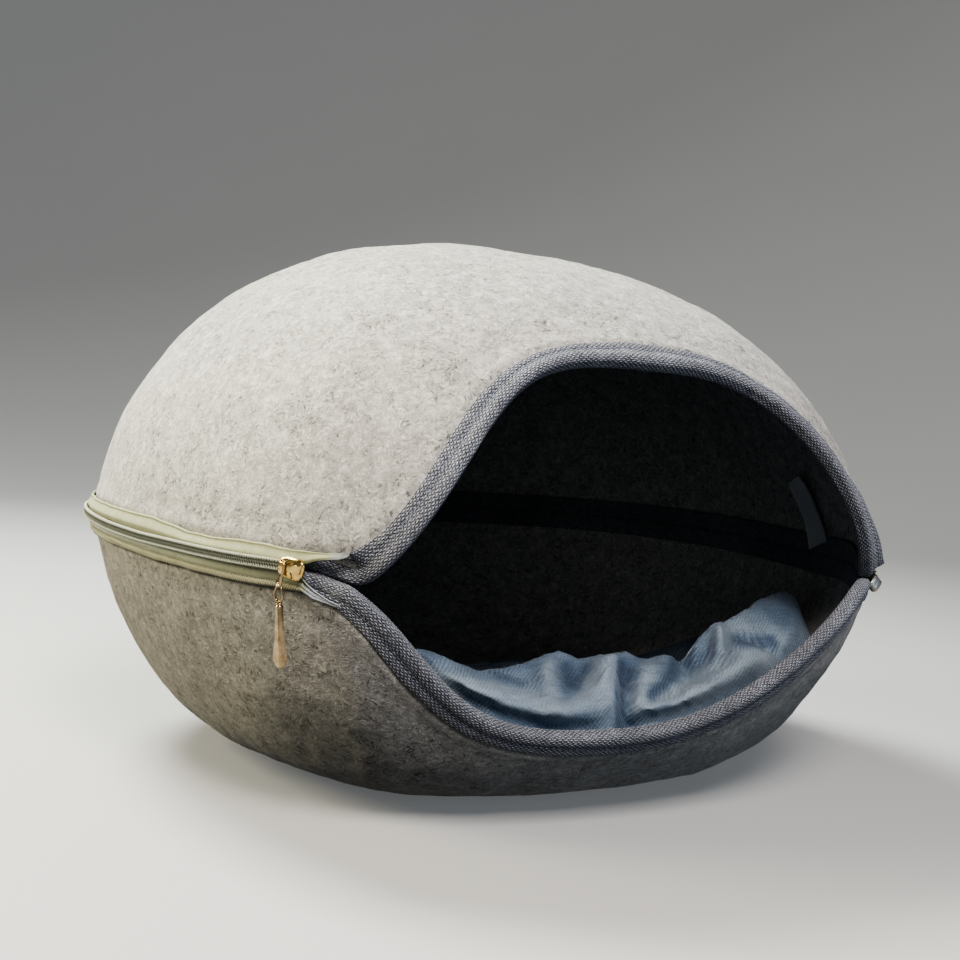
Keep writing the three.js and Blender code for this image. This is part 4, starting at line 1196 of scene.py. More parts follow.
def coil_piece(side, node):
    """Rows of coil loops. The chain sags a little below the meeting line away from its ends."""
    lo = CORNER["right"] + 0.2 * DEG
    hi = 2 * PI - 61.3 * DEG - 0.8 * DEG
    q = back_stations("up", lo, hi, 1600)
    total = q["s"][-1]
    s = np.arange(0.4 + (TOOTH / 2 if side == "low" else 0), total - 1, TOOTH)
    n = len(s)
    sg = 1 if side == "up" else -1
    total_left = total + 19.0
    mid = np.interp(total_left - s, [19, 30, 60, 95, 130, 170, 260], [0.45, 0.35, 0.0, -0.55, -1.5, -1.6, -0.4])

    def at(ss):
        out = {key: np.interp(ss, q["s"], q[key]) for key in ("th", "a", "th1", "a1")}
        for key in ("in", "n"):
            out[key] = unit(np.stack([np.interp(ss, q["s"], q[key][:, k]) for k in range(3)], -1))
        return out

    # each tooth: from its head past the middle, over a shallow trough, to its round bend
    path = [(-0.35, 5.6, -0.55), (0.10, 6.25, -0.42), (0.75, 6.05, -0.18), (1.30, 5.95, 0.05), (1.85, 6.45, 0.30), (2.25, 6.05, 0.48), (2.45, 5.0, 0.55)]
    rad = [0.34, 0.36, 0.34, 0.38, 0.47, 0.45, 0.30]
    sides = 6
    cs = []
    for (h, nn, d) in path:
        w = at(s + d * 0.9)
        cs.append(beside("up", w, mid + sg * h - SPLIT, np.full(n, nn - 0.35)))
    cs = np.stack(cs, 1)
    al = unit(beside("up", at(s + 0.5), np.zeros(n), np.zeros(n)) - beside("up", at(s - 0.5), np.zeros(n), np.zeros(n)))
    tang = unit(np.gradient(cs, axis=1))
    e1 = unit(al[:, None, :] - tang * (al[:, None, :] * tang).sum(-1, keepdims=True))
    e2 = np.cross(tang, e1)
    r = np.array(rad)[None, :, None, None]
    ang = np.arange(sides) * 2 * PI / sides
    sec = cs[:, :, None, :] + r * (np.cos(ang)[None, None, :, None] * e1[:, :, None, :] * 1.1 + np.sin(ang)[None, None, :, None] * e2[:, :, None, :])
    k = len(path)
    pts = sec.reshape(-1, 3)
    g = grid_faces(k, sides, ring_m=True)
    quads = (np.arange(n)[:, None, None] * (k * sides) + g[None]).reshape(-1, 4)
    caps = (np.arange(n)[:, None, None] * (k * sides) + np.stack([np.arange(sides)[::-1], (k - 1) * sides + np.arange(sides)])[None]).reshape(-1, sides)
    faces = outward(pts, [quads, caps])
    hh = np.repeat(np.repeat(np.array([p[0] for p in path])[None, :], n, 0)[:, :, None], sides, 2).reshape(-1)
    ss = np.repeat(np.repeat(s[:, None], k, 1)[:, :, None], sides, 2).reshape(-1)
    obj = make(node, pts, faces, uv=np.stack([ss, hh], -1))
    finish_piece(obj, "coil", "coil", "zip_coil_upper" if side == "up" else "zip_coil_lower")
    return obj


coil_piece("up", "coil_upper")
coil_piece("low", "coil_lower")

# stitch row near the lower tape's edge
s_lo, s_hi = 4.0, tq_low["total"] - 27.0


def along_back(side, q, lo, hi, pitch, h, n, gap=0.25):
    s0 = np.arange(lo, hi, pitch)
    s1 = s0 + pitch * (1 - gap)

    def at(ss):
        out = {key: np.interp(ss, q["s"], q[key]) for key in ("th", "a", "th1", "a1")}
        for key in ("in", "n"):
            out[key] = unit(np.stack([np.interp(ss, q["s"], q[key][:, k]) for k in range(3)], -1))
        return out

    a, b = at(s0), at(s1)
    k = len(s0)
    return beside(side, a, np.full(k, h - SPLIT), np.full(k, n)), beside(side, b, np.full(k, h - SPLIT), np.full(k, n)), a["n"]


parts = []
for h, n in ((7.7, 2.85),):
    p0, p1, nn = along_back("low", tq_low, s_lo, s_hi, 2.5, h, n)
    pts, faces = capsules(p0, p1, nn * 0.16, 0.17, sides=5)
    parts.append((pts, faces, None))
pts, faces, _ = join_parts(parts)
obj = make("tape_stitches", pts, faces)
finish_piece(obj, "pale_thread", "tape")


# ---------------------------------------------------- slider, pull, stop, label
def zip_frame(th):
    th = np.asarray(th, float)
    p = skin("up", th, np.array(0.0))
    e = 1e-3
    along = unit(skin("up", th + e, np.array(0.0)) - skin("up", th - e, np.array(0.0)))
    up = unit(np.array([0, 0, 1.0]) - along * along[2])
    out = unit(np.cross(along, up))
    if out @ p < 0:
        out, along = -out, -along
    return p, along, up, out


def place_local(pts, fr, n):
    p, along, up, out = fr
    pts = np.asarray(pts, float)
    return p + out * n + pts[:, :1] * along + pts[:, 1:2] * up + pts[:, 2:3] * out


def smooth_outline(points, per=6):
    """A closed outline through control points, rounded by a Catmull-Rom curve."""
    P = np.array(points, float)
    n = len(P)
    out = []
    for i in range(n):
        p0, p1, p2, p3 = P[(i - 1) % n], P[i], P[(i + 1) % n], P[(i + 2) % n]
        for f in np.arange(per) / per:
            out.append(0.5 * (2 * p1 + (p2 - p0) * f + (2 * p0 - 5 * p1 + 4 * p2 - p3) * f ** 2 + (3 * p1 - p0 - 3 * p2 + p3) * f ** 3))
    return np.array(out)


def pillow(outline, z0, z1, round_=0.5, steps=5, dome=0.0):
    """A plate with rounded edges from an outline (k, 2)."""
    c = outline.mean(0)
    d = outline - c
    span = np.linalg.norm(d, axis=1, keepdims=True)
    rings = []
    prof = []
    for a in np.linspace(-PI / 2, PI / 2, 2 * steps + 1):
        prof.append((round_ * (1 - math.cos(a)), (z0 + z1) / 2 + ((z1 - z0) / 2 - round_) * (1 if a > 0 else -1 if a < 0 else 0) + round_ * math.sin(a)))
    prof = [(s, z) for s, z in prof]
    for s, z in prof:
        rings.append(np.concatenate([c + d * (1 - s / span), np.full((len(outline), 1), z)], 1))
    # inner rings on the top and the bottom, with a slight dome on the top
    tops = []
    for f in (0.75, 0.5, 0.25):
        tops.append(np.concatenate([c + d * (1 - round_ / span) * f, np.full((len(outline), 1), z1 + dome * (1 - f * f))], 1))
    bots = []
    for f in (0.3, 0.65):
        bots.append(np.concatenate([c + d * (1 - round_ / span) * f, np.full((len(outline), 1), z0)], 1))
    return loft(np.stack([*bots, *rings, *tops]), False)


def arch_bar(path, width, thick, k=9):
    """A flat bar bent along a path in the x-z plane, width across y, rounded edges."""
    P = np.array(path, float)
    run = np.concatenate([[0], np.cumsum(np.linalg.norm(np.diff(P, axis=0), axis=1))])
    s = np.linspace(0, run[-1], 40)
    P = np.stack([np.interp(s, run, P[:, 0]), np.interp(s, run, P[:, 1])], -1)
    for _ in range(3):
        P[1:-1] = P[1:-1] * 0.5 + (P[:-2] + P[2:]) * 0.25
    T = unit(np.gradient(P, axis=0))
    Nn = np.stack([-T[:, 1], T[:, 0]], -1)
    sec = []
    for i in range(len(P)):
        w = width if np.ndim(width) == 0 else np.interp(s[i] / run[-1], *zip(*width))
        ring = []
        for a in np.arange(20) / 20 * 2 * PI:
            cx, cy = math.cos(a), math.sin(a)
            # a rounded rectangle
            e = 0.38
            yy = w / 2 * math.copysign(abs(cx) ** e, cx)
            nn = thick / 2 * math.copysign(abs(cy) ** e, cy)
            ring.append([P[i, 0] + Nn[i, 0] * nn, yy, P[i, 1] + Nn[i, 1] * nn])
        sec.append(ring)
    return loft(np.array(sec), False)


SL = {"L": 13.4, "W": 11.4, "base": 2.4, "crown": 3.6, "at": -61.3 * DEG, "turn": -4.0 * DEG}
COIL_OFF = 3.7
outline = smooth_outline([
    (-6.5, -3.2), (-6.8, 0.0), (-6.4, 3.4), (-5.0, 4.7), (-1.5, 5.2), (2.4, 5.7), (5.2, 5.2), (6.5, 3.4), (6.8, 0.4),
    (6.4, -2.6), (5.0, -4.7), (2.4, -5.7), (-1.5, -5.4), (-5.0, -4.8)])
fr = zip_frame(SL["at"])
parts = []
pts, faces = pillow(outline, 0.5, 3.1, 1.15, dome=0.85)
parts.append((pts, faces, None))
# rolled flanges down both sides of the plate
for sgn in (-1, 1):
    rail = np.array([(-5.8, 4.1), (-3.0, 4.95), (0.5, 5.35), (3.0, 5.55), (5.0, 4.85)]) * [1, sgn]
    xs = np.linspace(0, 1, 16)
    rx = np.interp(xs, np.linspace(0, 1, len(rail)), rail[:, 0])
    ry = np.interp(xs, np.linspace(0, 1, len(rail)), rail[:, 1])
    sec = []
    for i in range(16):
        end = 1 - abs(2 * xs[i] - 1) ** 6 * 0.6
        ring = [[rx[i], ry[i] + 0.5 * math.cos(a) * end, 1.0 + 0.95 * math.sin(a) * end] for a in np.arange(12) / 12 * 2 * PI]
        sec.append(ring)
    pts, faces = loft(np.array(sec), False)
    parts.append((pts, faces, None))
# the crown: a broad raised hoop along the plate
crown_path = [(-5.4, 2.4), (-5.35, 3.8), (-4.7, 5.1), (-3.2, 5.85), (-0.5, 6.05), (2.2, 5.8), (4.2, 4.9), (5.2, 3.7), (5.4, 2.4)]
pts, faces = arch_bar(crown_path, [(0, 4.4), (0.25, 3.7), (0.6, 3.9), (1, 5.4)], 1.25)
pts = pts + [0, 1.1, 0]
parts.append((pts, faces, None))
pts, faces, _ = join_parts(parts)
ct, st = math.cos(SL["turn"]), math.sin(SL["turn"])
pts = pts * [0.97, 0.84, 1.0]
pts = np.stack([pts[:, 0] * ct - pts[:, 1] * st, pts[:, 0] * st + pts[:, 1] * ct + 0.3, pts[:, 2]], -1)
pts = place_local(pts, fr, COIL_OFF - 0.6)
obj = make("slider", pts, faces)
finish_piece(obj, "gold", "gold", "zip_slider")

# pull: link, eye, collar and tab
PULL = {"link": 12.4, "wire": 1.35, "reach": 1.75, "shift": -0.4, "slant": -3.2, "tab": 27.2, "tilt": 5.2 * DEG}


def tube(path, radius, sides=12, ring=True, flat=None):
    P = np.array(path, float)
    n = len(P)
    T = unit(np.roll(P, -1, 0) - np.roll(P, 1, 0)) if ring else unit(np.gradient(P, axis=0))
    ref = np.array([1.0, 0, 0]) if flat is None else np.array(flat, float)
    e1 = unit(ref - T * (T @ ref)[:, None])
    e2 = np.cross(T, e1)
    r = np.broadcast_to(np.asarray(radius, float), (n,))
    sec = [[P[i] + r[i] * (math.cos(a) * e1[i] + math.sin(a) * e2[i]) for a in np.arange(sides) / sides * 2 * PI] for i in range(n)]
    return loft(np.array(sec), ring)


ry = (PULL["link"] - PULL["wire"]) / 2
ring = []
for i in range(56):
    t = (i + 0.5) / 56 * 2 * PI
    sh = (1 if math.cos(t) > 0 else -1) * (ry - PULL["reach"]) * min(1, abs(math.cos(t)) * 6)
    y = -ry + sh + PULL["reach"] * math.cos(t)
    f = min(max(-y / (2 * ry), 0), 1)
    # an S bend to the left, the loop turning to face out lower down
    bend = PULL["slant"] * (f * f * (3 - 2 * f))
    wide = PULL["reach"] * math.sin(t)
    ring.append((bend + wide * 0.95 * f, y, wide * (1 - 0.55 * f)))
parts = [(*tube(ring, 0.66), None)]
low_parts = []
# eye: a flat ring that faces out
eye = [(2.05 * math.sin(a), -3.2 + 3.5 * math.cos(a), 0.0) for a in np.arange(36) / 36 * 2 * PI]
low_parts.append((*tube(eye, 0.62, flat=(0, 0, 1)), None))
# collar, turned, with a rounded waist
prof = [(0.0, -7.0), (1.2, -7.05), (1.75, -7.35), (1.55, -7.8), (1.35, -8.1), (1.75, -8.45), (2.05, -8.85), (2.0, -9.35), (1.75, -9.7), (0.0, -9.8)]
prof = np.array(prof)
rings = []
for r, y in prof[1:-1]:
    rings.append([[r * math.cos(a), y, r * 0.86 * math.sin(a)] for a in np.arange(24) / 24 * 2 * PI])
low_parts.append((*loft(np.array(rings), False), None))
# tab: flat facets either side of a middle ridge, flaring to a blunt point
y0, tab = -9.0, PULL["tab"]
sec = []
for f in np.concatenate([np.linspace(0, 0.76, 26), np.linspace(0.78, 0.90, 8), np.linspace(0.91, 0.995, 12)]):
    half = np.interp(f, [0, 0.05, 0.25, 0.50, 0.72, 0.82, 0.88, 0.94, 0.98, 1.0], [1.9, 2.0, 2.25, 2.70, 3.40, 3.75, 3.6, 2.7, 1.6, 0.6])
    y = y0 - tab * f
    hgt = 1.05 * min(1, 0.35 + half / 2.5)
    ring = []
    for u, w in ((-1.0, 0.10), (-0.97, 0.24), (-0.09, 1.06), (-0.03, 1.12), (0.05, 1.10), (0.48, 0.70), (0.55, 0.60), (0.97, 0.20), (1.0, 0.10),
                 (1.0, -0.10), (0.985, -0.18), (0.60, -0.70), (0.0, -0.80), (-0.60, -0.70), (-0.985, -0.18), (-1.0, -0.10)):
        ring.append([half * u, y, hgt * w])
    sec.append(ring)
low_parts.append((*loft(np.array(sec), False), None))
pts, faces, _ = join_parts(low_parts)
c, s = math.cos(PULL["tilt"]), math.sin(PULL["tilt"])
pts = np.stack([pts[:, 0] * c - pts[:, 1] * s + PULL["slant"], pts[:, 0] * s + pts[:, 1] * c - 2 * ry, pts[:, 2]], -1)
parts.append((pts, faces, None))
pts, faces, _ = join_parts(parts)
p, along, up, out = fr
hang_out = unit(np.array([out[0], out[1], 0.0]))
hang_up = np.array([0, 0, 1.0])
hang_along = np.cross(hang_up, hang_out)
hp = p + np.array([0, 0, 3.2]) + along * PULL["shift"]
pts = place_local(pts, (hp, hang_along, hang_up, hang_out), COIL_OFF + SL["base"] + SL["crown"] - 0.8)
obj = make("pull", pts, faces)
finish_piece(obj, "bronze", "gold", "zip_pull")

# stop
fr2 = zip_frame(57.6 * DEG)
sec = []
Wd, Ln, Tk = 8.4, 7.4, 3.4
for x in (-Ln / 2, -Ln / 2 + 0.25, -Ln / 2 + 0.7, -0.6, 0, 0.6, Ln / 2 - 0.7, Ln / 2 - 0.25, Ln / 2):
    e = 0.72 if abs(x) > Ln / 2 - 0.1 else (0.92 if abs(x) > Ln / 2 - 0.4 else 1.0)
    dent = 0.35 if abs(x) < 1.0 else 0.0
    ring = []
    for a in np.linspace(0, PI, 15):
        cx, sy = math.cos(a), math.sin(a)
        ring.append([x, Wd / 2 * math.copysign(abs(cx) ** 0.5, cx) * e, (Tk - dent * (abs(cx) < 0.5)) * abs(sy) ** 0.5 * e])
    for u in (-0.5, 0.0, 0.5):
        ring.append([x, Wd * u * 0.8 * e, 0.0])
    sec.append(ring)
pts, faces = loft(np.array(sec), False)
c, s = math.cos(-34 * DEG), math.sin(-34 * DEG)
pts = np.stack([pts[:, 0] * c - pts[:, 1] * s, pts[:, 0] * s + pts[:, 1] * c - 3.0, pts[:, 2]], -1)
# turned towards the doorway, where the tape's end bends forward
p2, al2, up2, out2 = fr2
ct, st = math.cos(42 * DEG), math.sin(42 * DEG)
fwd = al2 if al2[1] < 0 else -al2
o3 = out2 * ct + fwd * st
a3 = np.cross(up2, o3)
pts = place_local(pts, (p2 + out2 * 0.8, a3, up2, o3), COIL_OFF - 1.2)
obj = make("stop", pts, faces)
finish_piece(obj, "clip", "clip", "zip_stop")

# label: bare tab with a turned-over corner and a slight curl
LB = {"width": 23.0, "height": 45.0, "at": 83.6 * DEG, "z": 25.5, "lean": 19 * DEG, "off": 6.8}
r = float(plan_radius(LB["at"]))
nu, nv = 17, 33
uu, vv = np.meshgrid(np.linspace(-0.5, 0.5, nu), np.linspace(-0.5, 0.5, nv), indexing="ij")
u, v = uu * LB["width"], vv * LB["height"]
across = -u * math.cos(LB["lean"]) + v * math.sin(LB["lean"])
z = LB["z"] + u * math.sin(LB["lean"]) + v * math.cos(LB["lean"])
th = LB["at"] + across / r
a = angle_of_rise("up", th, (z - meet_height(th)) / SHAPE["up"]["H"])
p = skin("up", th, a)
nn = normal_at("up", th, a)
curl = 1.6 * (vv + 0.5) ** 2 + 0.5 * np.sin(vv * 7 + uu * 3) + 1.6 * np.clip(uu + vv - 0.55, 0, 1) ** 2 * 8
front = p - nn * (LB["off"] + curl + 0.45)[..., None]
back = p - nn * (LB["off"] + curl)[..., None]
pts = np.concatenate([front.reshape(-1, 3), back.reshape(-1, 3)])
half = nu * nv
f1 = grid_faces(nu, nv)
f2 = grid_faces(nu, nv, start=half)[:, ::-1]
idx = np.arange(half).reshape(nu, nv)
loop = np.concatenate([idx[:, 0], idx[-1, 1:], idx[-2::-1, -1], idx[0, -2:0:-1]])
nxt = np.roll(loop, -1)
side_f = np.stack([nxt, loop, loop + half, nxt + half], -1)
faces = [np.concatenate([f1, f2, side_f])]
if signed_volume(pts, faces) < 0:
    faces = [faces[0][:, ::-1].copy()]
uv = np.concatenate([np.stack([u, v], -1).reshape(-1, 2)] * 2) / 1000
label = make("tab_inside", pts, faces, uv=uv)
finish_piece(label, "tab", "tab", "label_inside")


# --------------------------------------------------------------------- cushion
CUSHION = {"clear": 2.4, "side": 2.0, "cx": 18.0, "cy": 26.0, "rx": 173.0, "ry": 134.0, "square": 2.5, "edge": 7.0, "crown": 35.0, "ridge": 38.0, "thin": 15.0}
LUMPS = [(-8, -62, 26, 26, 11), (38, -66, 24, 24, 8), (16, -84, 11, 30, -8), (-56, -56, 22, 30, -7), (-104, -64, 28, 34, 26), (84, -62, 30, 24, 4), (172, -34, 40, 46, 76)]


def bowl_floor(x, y):
    """Height of the lower shell's inner face over plan points, working frame."""
    s = SHAPE["low"]
    dy = y - s["Y0"]
    want = np.arctan2(x, -dy)
    lo, hi = np.full_like(x, -PI), np.full_like(x, PI)
    for _ in range(46):
        m = (lo + hi) / 2
        r = plan_radius(m)
        less = np.arctan2(np.sin(m) * r, np.cos(m) * r + s["Y0"]) < want
        lo, hi = np.where(less, m, lo), np.where(less, hi, m)
    th = (lo + hi) / 2
    r = plan_radius(th)
    rc = np.hypot(np.sin(th) * r, np.cos(th) * r + s["Y0"])
    g = (np.hypot(x, dy) + CUSHION["side"]) / rc

    def level(gg):
        a = np.arccos(np.clip(np.power(np.minimum(gg, 0.9995), exps("low", th)[0] / 2), 0, 1))
        return skin("low", th, a)[..., 2]

    e = 0.002
    slope = (level(np.minimum(g + e, 0.999)) - level(np.minimum(g - e, 0.997))) / (2 * e * rc)
    return level(g) + FELT * np.sqrt(1 + slope * slope)


# the folds of its front, in the part's own frame (mm): ridge and valley lines, single points,
# the fall behind the ridges, and the foot just inside the lip
FOLD_LINES = [
    [(-95.9, -124.2, 81.9), (-85.3, -121.2, 79.6), (-76.2, -119.2, 77.4), (-67.3, -119.2, 74.8), (-58.1, -121.2, 72.5), (-52.4, -125.2, 70.5)],
    [(-94.0, -154.2, 73.1), (-84.1, -153.2, 72.6), (-74.0, -151.2, 71.3), (-62.0, -149.2, 69.4), (-52.6, -149.2, 67.3), (-44.8, -151.2, 65.6), (-38.7, -157.2, 63.5)],
    [(-47.5, -129.2, 70.9), (-37.5, -125.2, 72.1), (-28.6, -121.2, 73.8), (-17.1, -117.2, 76.5), (-7.1, -115.2, 77.5), (1.9, -114.2, 77.4), (9.9, -115.2, 75.4), (18.1, -117.2, 73.4)],
    [(-15.5, -125.2, 74.7), (-21.3, -135.2, 71.5), (-27.1, -146.2, 68.0), (-31.6, -156.2, 64.6), (-32.7, -163.2, 61.5)],
    [(-0.1, -121.2, 72.4), (-2.2, -127.2, 68.2), (-6.3, -135.2, 64.5), (7.9, -125.2, 70.7), (0.5, -135.2, 66.4)],
    [(-30.0, -164.8, 60.2), (-21.2, -163.2, 61.0), (-11.0, -157.2, 64.5), (-1.2, -149.2, 68.8), (10.8, -137.2, 73.5), (20.4, -129.2, 76.1), (29.0, -123.2, 77.6)],
    [(14.4, -145.2, 74.4), (6.8, -157.2, 70.7), (1.1, -166.4, 64.9), (-2.7, -172.8, 58.6), (-4.9, -176.8, 53.4)],
    [(31.0, -127.2, 70.4), (26.3, -135.2, 65.5), (20.1, -145.2, 61.2), (12.6, -157.2, 57.6), (5.2, -168.8, 54.2)],
    [(40.4, -117.2, 76.8), (47.9, -117.2, 75.1), (51.7, -119.2, 73.4), (55.3, -121.2, 72.1)],
    [(67.7, -119.2, 75.5), (71.4, -121.2, 74.7), (61.8, -135.2, 69.9), (48.8, -147.2, 66.6), (37.8, -153.2, 64.9), (27.7, -159.2, 63.3)],
    [(84.4, -116.2, 72.4), (92.1, -116.2, 72.7)],
    [(22.4, -168.0, 60.1), (37.2, -164.0, 62.3), (56.3, -157.2, 66.1), (70.2, -151.2, 69.4), (86.3, -143.2, 74.1), (99.7, -139.2, 76.4), (112.6, -139.2, 78.1), (118.3, -141.2, 80.4)],
    [(23.9, -175.2, 56.8), (44.9, -172.8, 60.1), (67.8, -168.8, 65.4), (87.2, -165.6, 70.6), (105.2, -160.8, 74.7)],
    [(85.3, -127.2, 81.7), (90.2, -123.2, 89.2), (96.7, -121.2, 92.0), (110.2, -117.2, 94.8), (125.3, -113.2, 98.8), (141.1, -110.2, 103.1), (155.2, -108.2, 106.6), (162.5, -107.2, 107.5), (165.6, -111.2, 105.4), (168.9, -117.2, 102.0), (170.9, -125.2, 98.6), (167.7, -131.2, 92.6)],
    [(91.5, -131.2, 90.8), (91.8, -141.2, 87.4), (100.4, -145.2, 85.6), (110.1, -145.2, 84.2), (117.0, -144.2, 82.7)],
    [(113.7, -133.2, 75.5), (124.4, -132.2, 74.5), (132.3, -133.2, 78.0)],
    [(107.3, -125.2, 91.3), (115.8, -126.2, 88.4), (128.0, -125.2, 88.6), (135.6, -127.2, 87.6), (136.0, -135.2, 84.2)],
    [(113.8, -153.2, 79.6), (112.4, -160.0, 74.9)],
]
FOLD_POINTS = [
    (-32.2, -131.2, 68.9), (-43.0, -133.2, 69.1), (-5.8, -162.4, 64.8), (-7.0, -170.4, 60.4), (4.3, -155.2, 69.3), (-0.0, -164.0, 64.9),
    (36.8, -133.2, 70.9), (26.7, -146.2, 67.2), (20.0, -157.2, 63.7), (17.6, -165.6, 60.8), (36.2, -143.2, 66.8), (47.9, -133.2, 68.8),
    (79.7, -119.2, 71.5), (75.6, -126.2, 67.1), (67.0, -135.2, 63.5), (50.5, -149.2, 61.9), (77.8, -133.2, 69.6), (88.5, -129.2, 72.5),
    (93.1, -142.2, 81.8), (105.4, -143.2, 81.7), (133.2, -137.2, 79.9), (131.9, -145.2, 76.7), (140.1, -141.2, 82.8), (150.7, -123.2, 95.2),
    (154.9, -129.2, 94.9), (151.2, -139.2, 89.4),
]
FOLD_BEHIND = [
    (-80.7, -94.2, 67.4), (-69.6, -91.2, 64.9), (-60.0, -89.2, 62.5), (-50.6, -89.2, 59.7), (-41.0, -91.2, 57.3), (-34.9, -95.2, 55.1),
    (-29.6, -99.2, 55.4), (-19.2, -95.2, 56.7), (-9.9, -91.2, 58.4), (2.1, -87.2, 61.2), (12.6, -85.2, 62.2), (22.0, -84.2, 62.0),
    (30.5, -85.2, 59.9), (39.1, -87.2, 57.6), (62.6, -87.2, 61.1), (70.6, -87.2, 59.3), (74.6, -89.2, 57.4), (78.5, -91.2, 56.0),
    (108.8, -86.2, 56.2), (117.0, -86.2, 56.5), (139.4, -83.2, 78.8), (155.2, -79.2, 83.0), (171.8, -76.2, 87.4), (186.6, -74.2, 91.0),
    (194.3, -73.2, 92.0), (197.8, -77.2, 89.7), (201.6, -83.2, 86.1), (204.1, -91.2, 82.5), (201.1, -97.2, 76.1),
]
FOLD_FOOT = [
    (-105.4, -159.2, 78.0), (-91.4, -167.2, 66.9), (-80.3, -170.9, 59.9), (-67.2, -175.2, 52.9), (-54.5, -177.0, 49.1), (-42.2, -178.7, 47.3),
    (-28.3, -179.2, 46.1), (-14.5, -179.2, 45.8), (0.1, -179.2, 46.0), (11.5, -179.2, 47.4), (29.0, -178.0, 49.3), (47.7, -176.4, 52.2),
    (67.0, -174.3, 56.7), (86.9, -172.0, 61.9), (110.7, -164.3, 68.4), (135.4, -153.2, 77.0),
]


# the front view, and where a point stands in it (a 960 x 960 frame)
CAM = {"az": -30.737, "el": 4.850, "roll": 4.1416, "dist": 753.2, "f": 1311.75, "px": 528.1, "py": 540.9}
az, el, ro = (CAM[k] * DEG for k in ("az", "el", "roll"))
back = np.array([math.sin(az) * math.cos(el), -math.cos(az) * math.cos(el), math.sin(el)])
right = np.array([math.cos(az), math.sin(az), 0.0])
upv = np.cross(back, right)
rr = right * math.cos(ro) + upv * math.sin(ro)
uu_ = -right * math.sin(ro) + upv * math.cos(ro)


def seen(p):
    d = p - back * CAM["dist"]
    z = -(d @ back)
    return CAM["px"] + CAM["f"] * (d @ rr) / z, CAM["py"] - CAM["f"] * (d @ uu_) / z


# how far each fold stands out towards the front (mm): line in the front view, height,
# and how wide it is on its left (or upper) and right (or lower) side
RELIEF = [
    ([(400, 668), (425, 674), (457, 678), (492, 683), (523, 690), (548, 699)], 6.0, 5.0, 17.0),
    ([(548, 664), (549, 683), (553, 701)], 5.0, 9.0, 6.0),
    ([(559, 708), (575, 702), (585, 692), (593, 680), (601, 667), (610, 657), (619, 654)], 6.0, 7.0, 12.0),
    ([(567, 666), (570, 682)], -6.5, 7.0, 7.0),
    ([(585, 667), (578, 684)], -3.5, 6.0, 6.0),
    ([(649, 664), (642, 680), (637, 696)], 5.0, 9.0, 6.5),
    ([(637, 696), (650, 703), (690, 685), (718, 664), (752, 654)], 6.0, 8.0, 17.0),
    ([(677, 657), (673, 673), (663, 685), (652, 693)], -7.0, 5.5, 5.5),
    ([(688, 661), (706, 657)], -4.0, 6.0, 6.0),
    ([(494, 673), (506, 678), (522, 684)], -4.0, 4.0, 3.0),
    ([(738, 640), (757, 642), (771, 640)], -5.5, 6.0, 6.0),
    ([(716, 628), (742, 630), (770, 632), (782, 640)], 3.5, 8.0, 4.0),
    ([(714, 634), (735, 645), (765, 652)], 3.0, 6.0, 8.0),
]
# a fold that hangs over its right neighbour
OVERHANG = ([(617, 664), (616, 690), (615, 730)], 5.0, 20.0, -9.0, 13.0)


def beside_line(px, py, line):
    """Distance to a line in the front view, and on which side: -1 left of its run, 1 right."""
    best = np.full(px.shape, 1e9)
    side = np.ones(px.shape)
    for (ax, ay), (bx, by) in zip(line[:-1], line[1:]):
        ux, uy = bx - ax, by - ay
        k = np.clip(((px - ax) * ux + (py - ay) * uy) / (ux * ux + uy * uy), 0, 1)
        d = np.hypot(px - ax - k * ux, py - ay - k * uy)
        near_ = d < best
        best = np.where(near_, d, best)
        side = np.where(near_, np.sign(ux * (py - ay) - uy * (px - ax)), side)
    return best, side


def relief(p):
    px, py = seen(p)
    out = np.zeros(px.shape)
    for line, high, s0, s1 in RELIEF:
        d, side = beside_line(px, py, line)
        out = out + high * np.exp(-((d / np.where(side < 0, s0, s1)) ** 2))
    line, h0, s0, h1, s1 = OVERHANG
    d, side = beside_line(px, py, line)
    # this line runs downwards, so its left in the view is its right-hand side
    sd = d * side
    mix_ = 0.5 + 0.5 * np.tanh(sd / 1.8)
    out = out + mix_ * h0 * np.exp(-((d / s0) ** 2)) + (1 - mix_) * h1 * np.exp(-((d / s1) ** 2))
    return out


def resample(line, step=5.0):
    p = np.array(line, float)
    run = np.concatenate([[0], np.cumsum(np.linalg.norm(np.diff(p, axis=0), axis=1))])
    k = max(int(run[-1] / step), 1) + 1
    return np.stack([np.interp(np.linspace(0, run[-1], k), run, p[:, c]) for c in range(3)], -1)


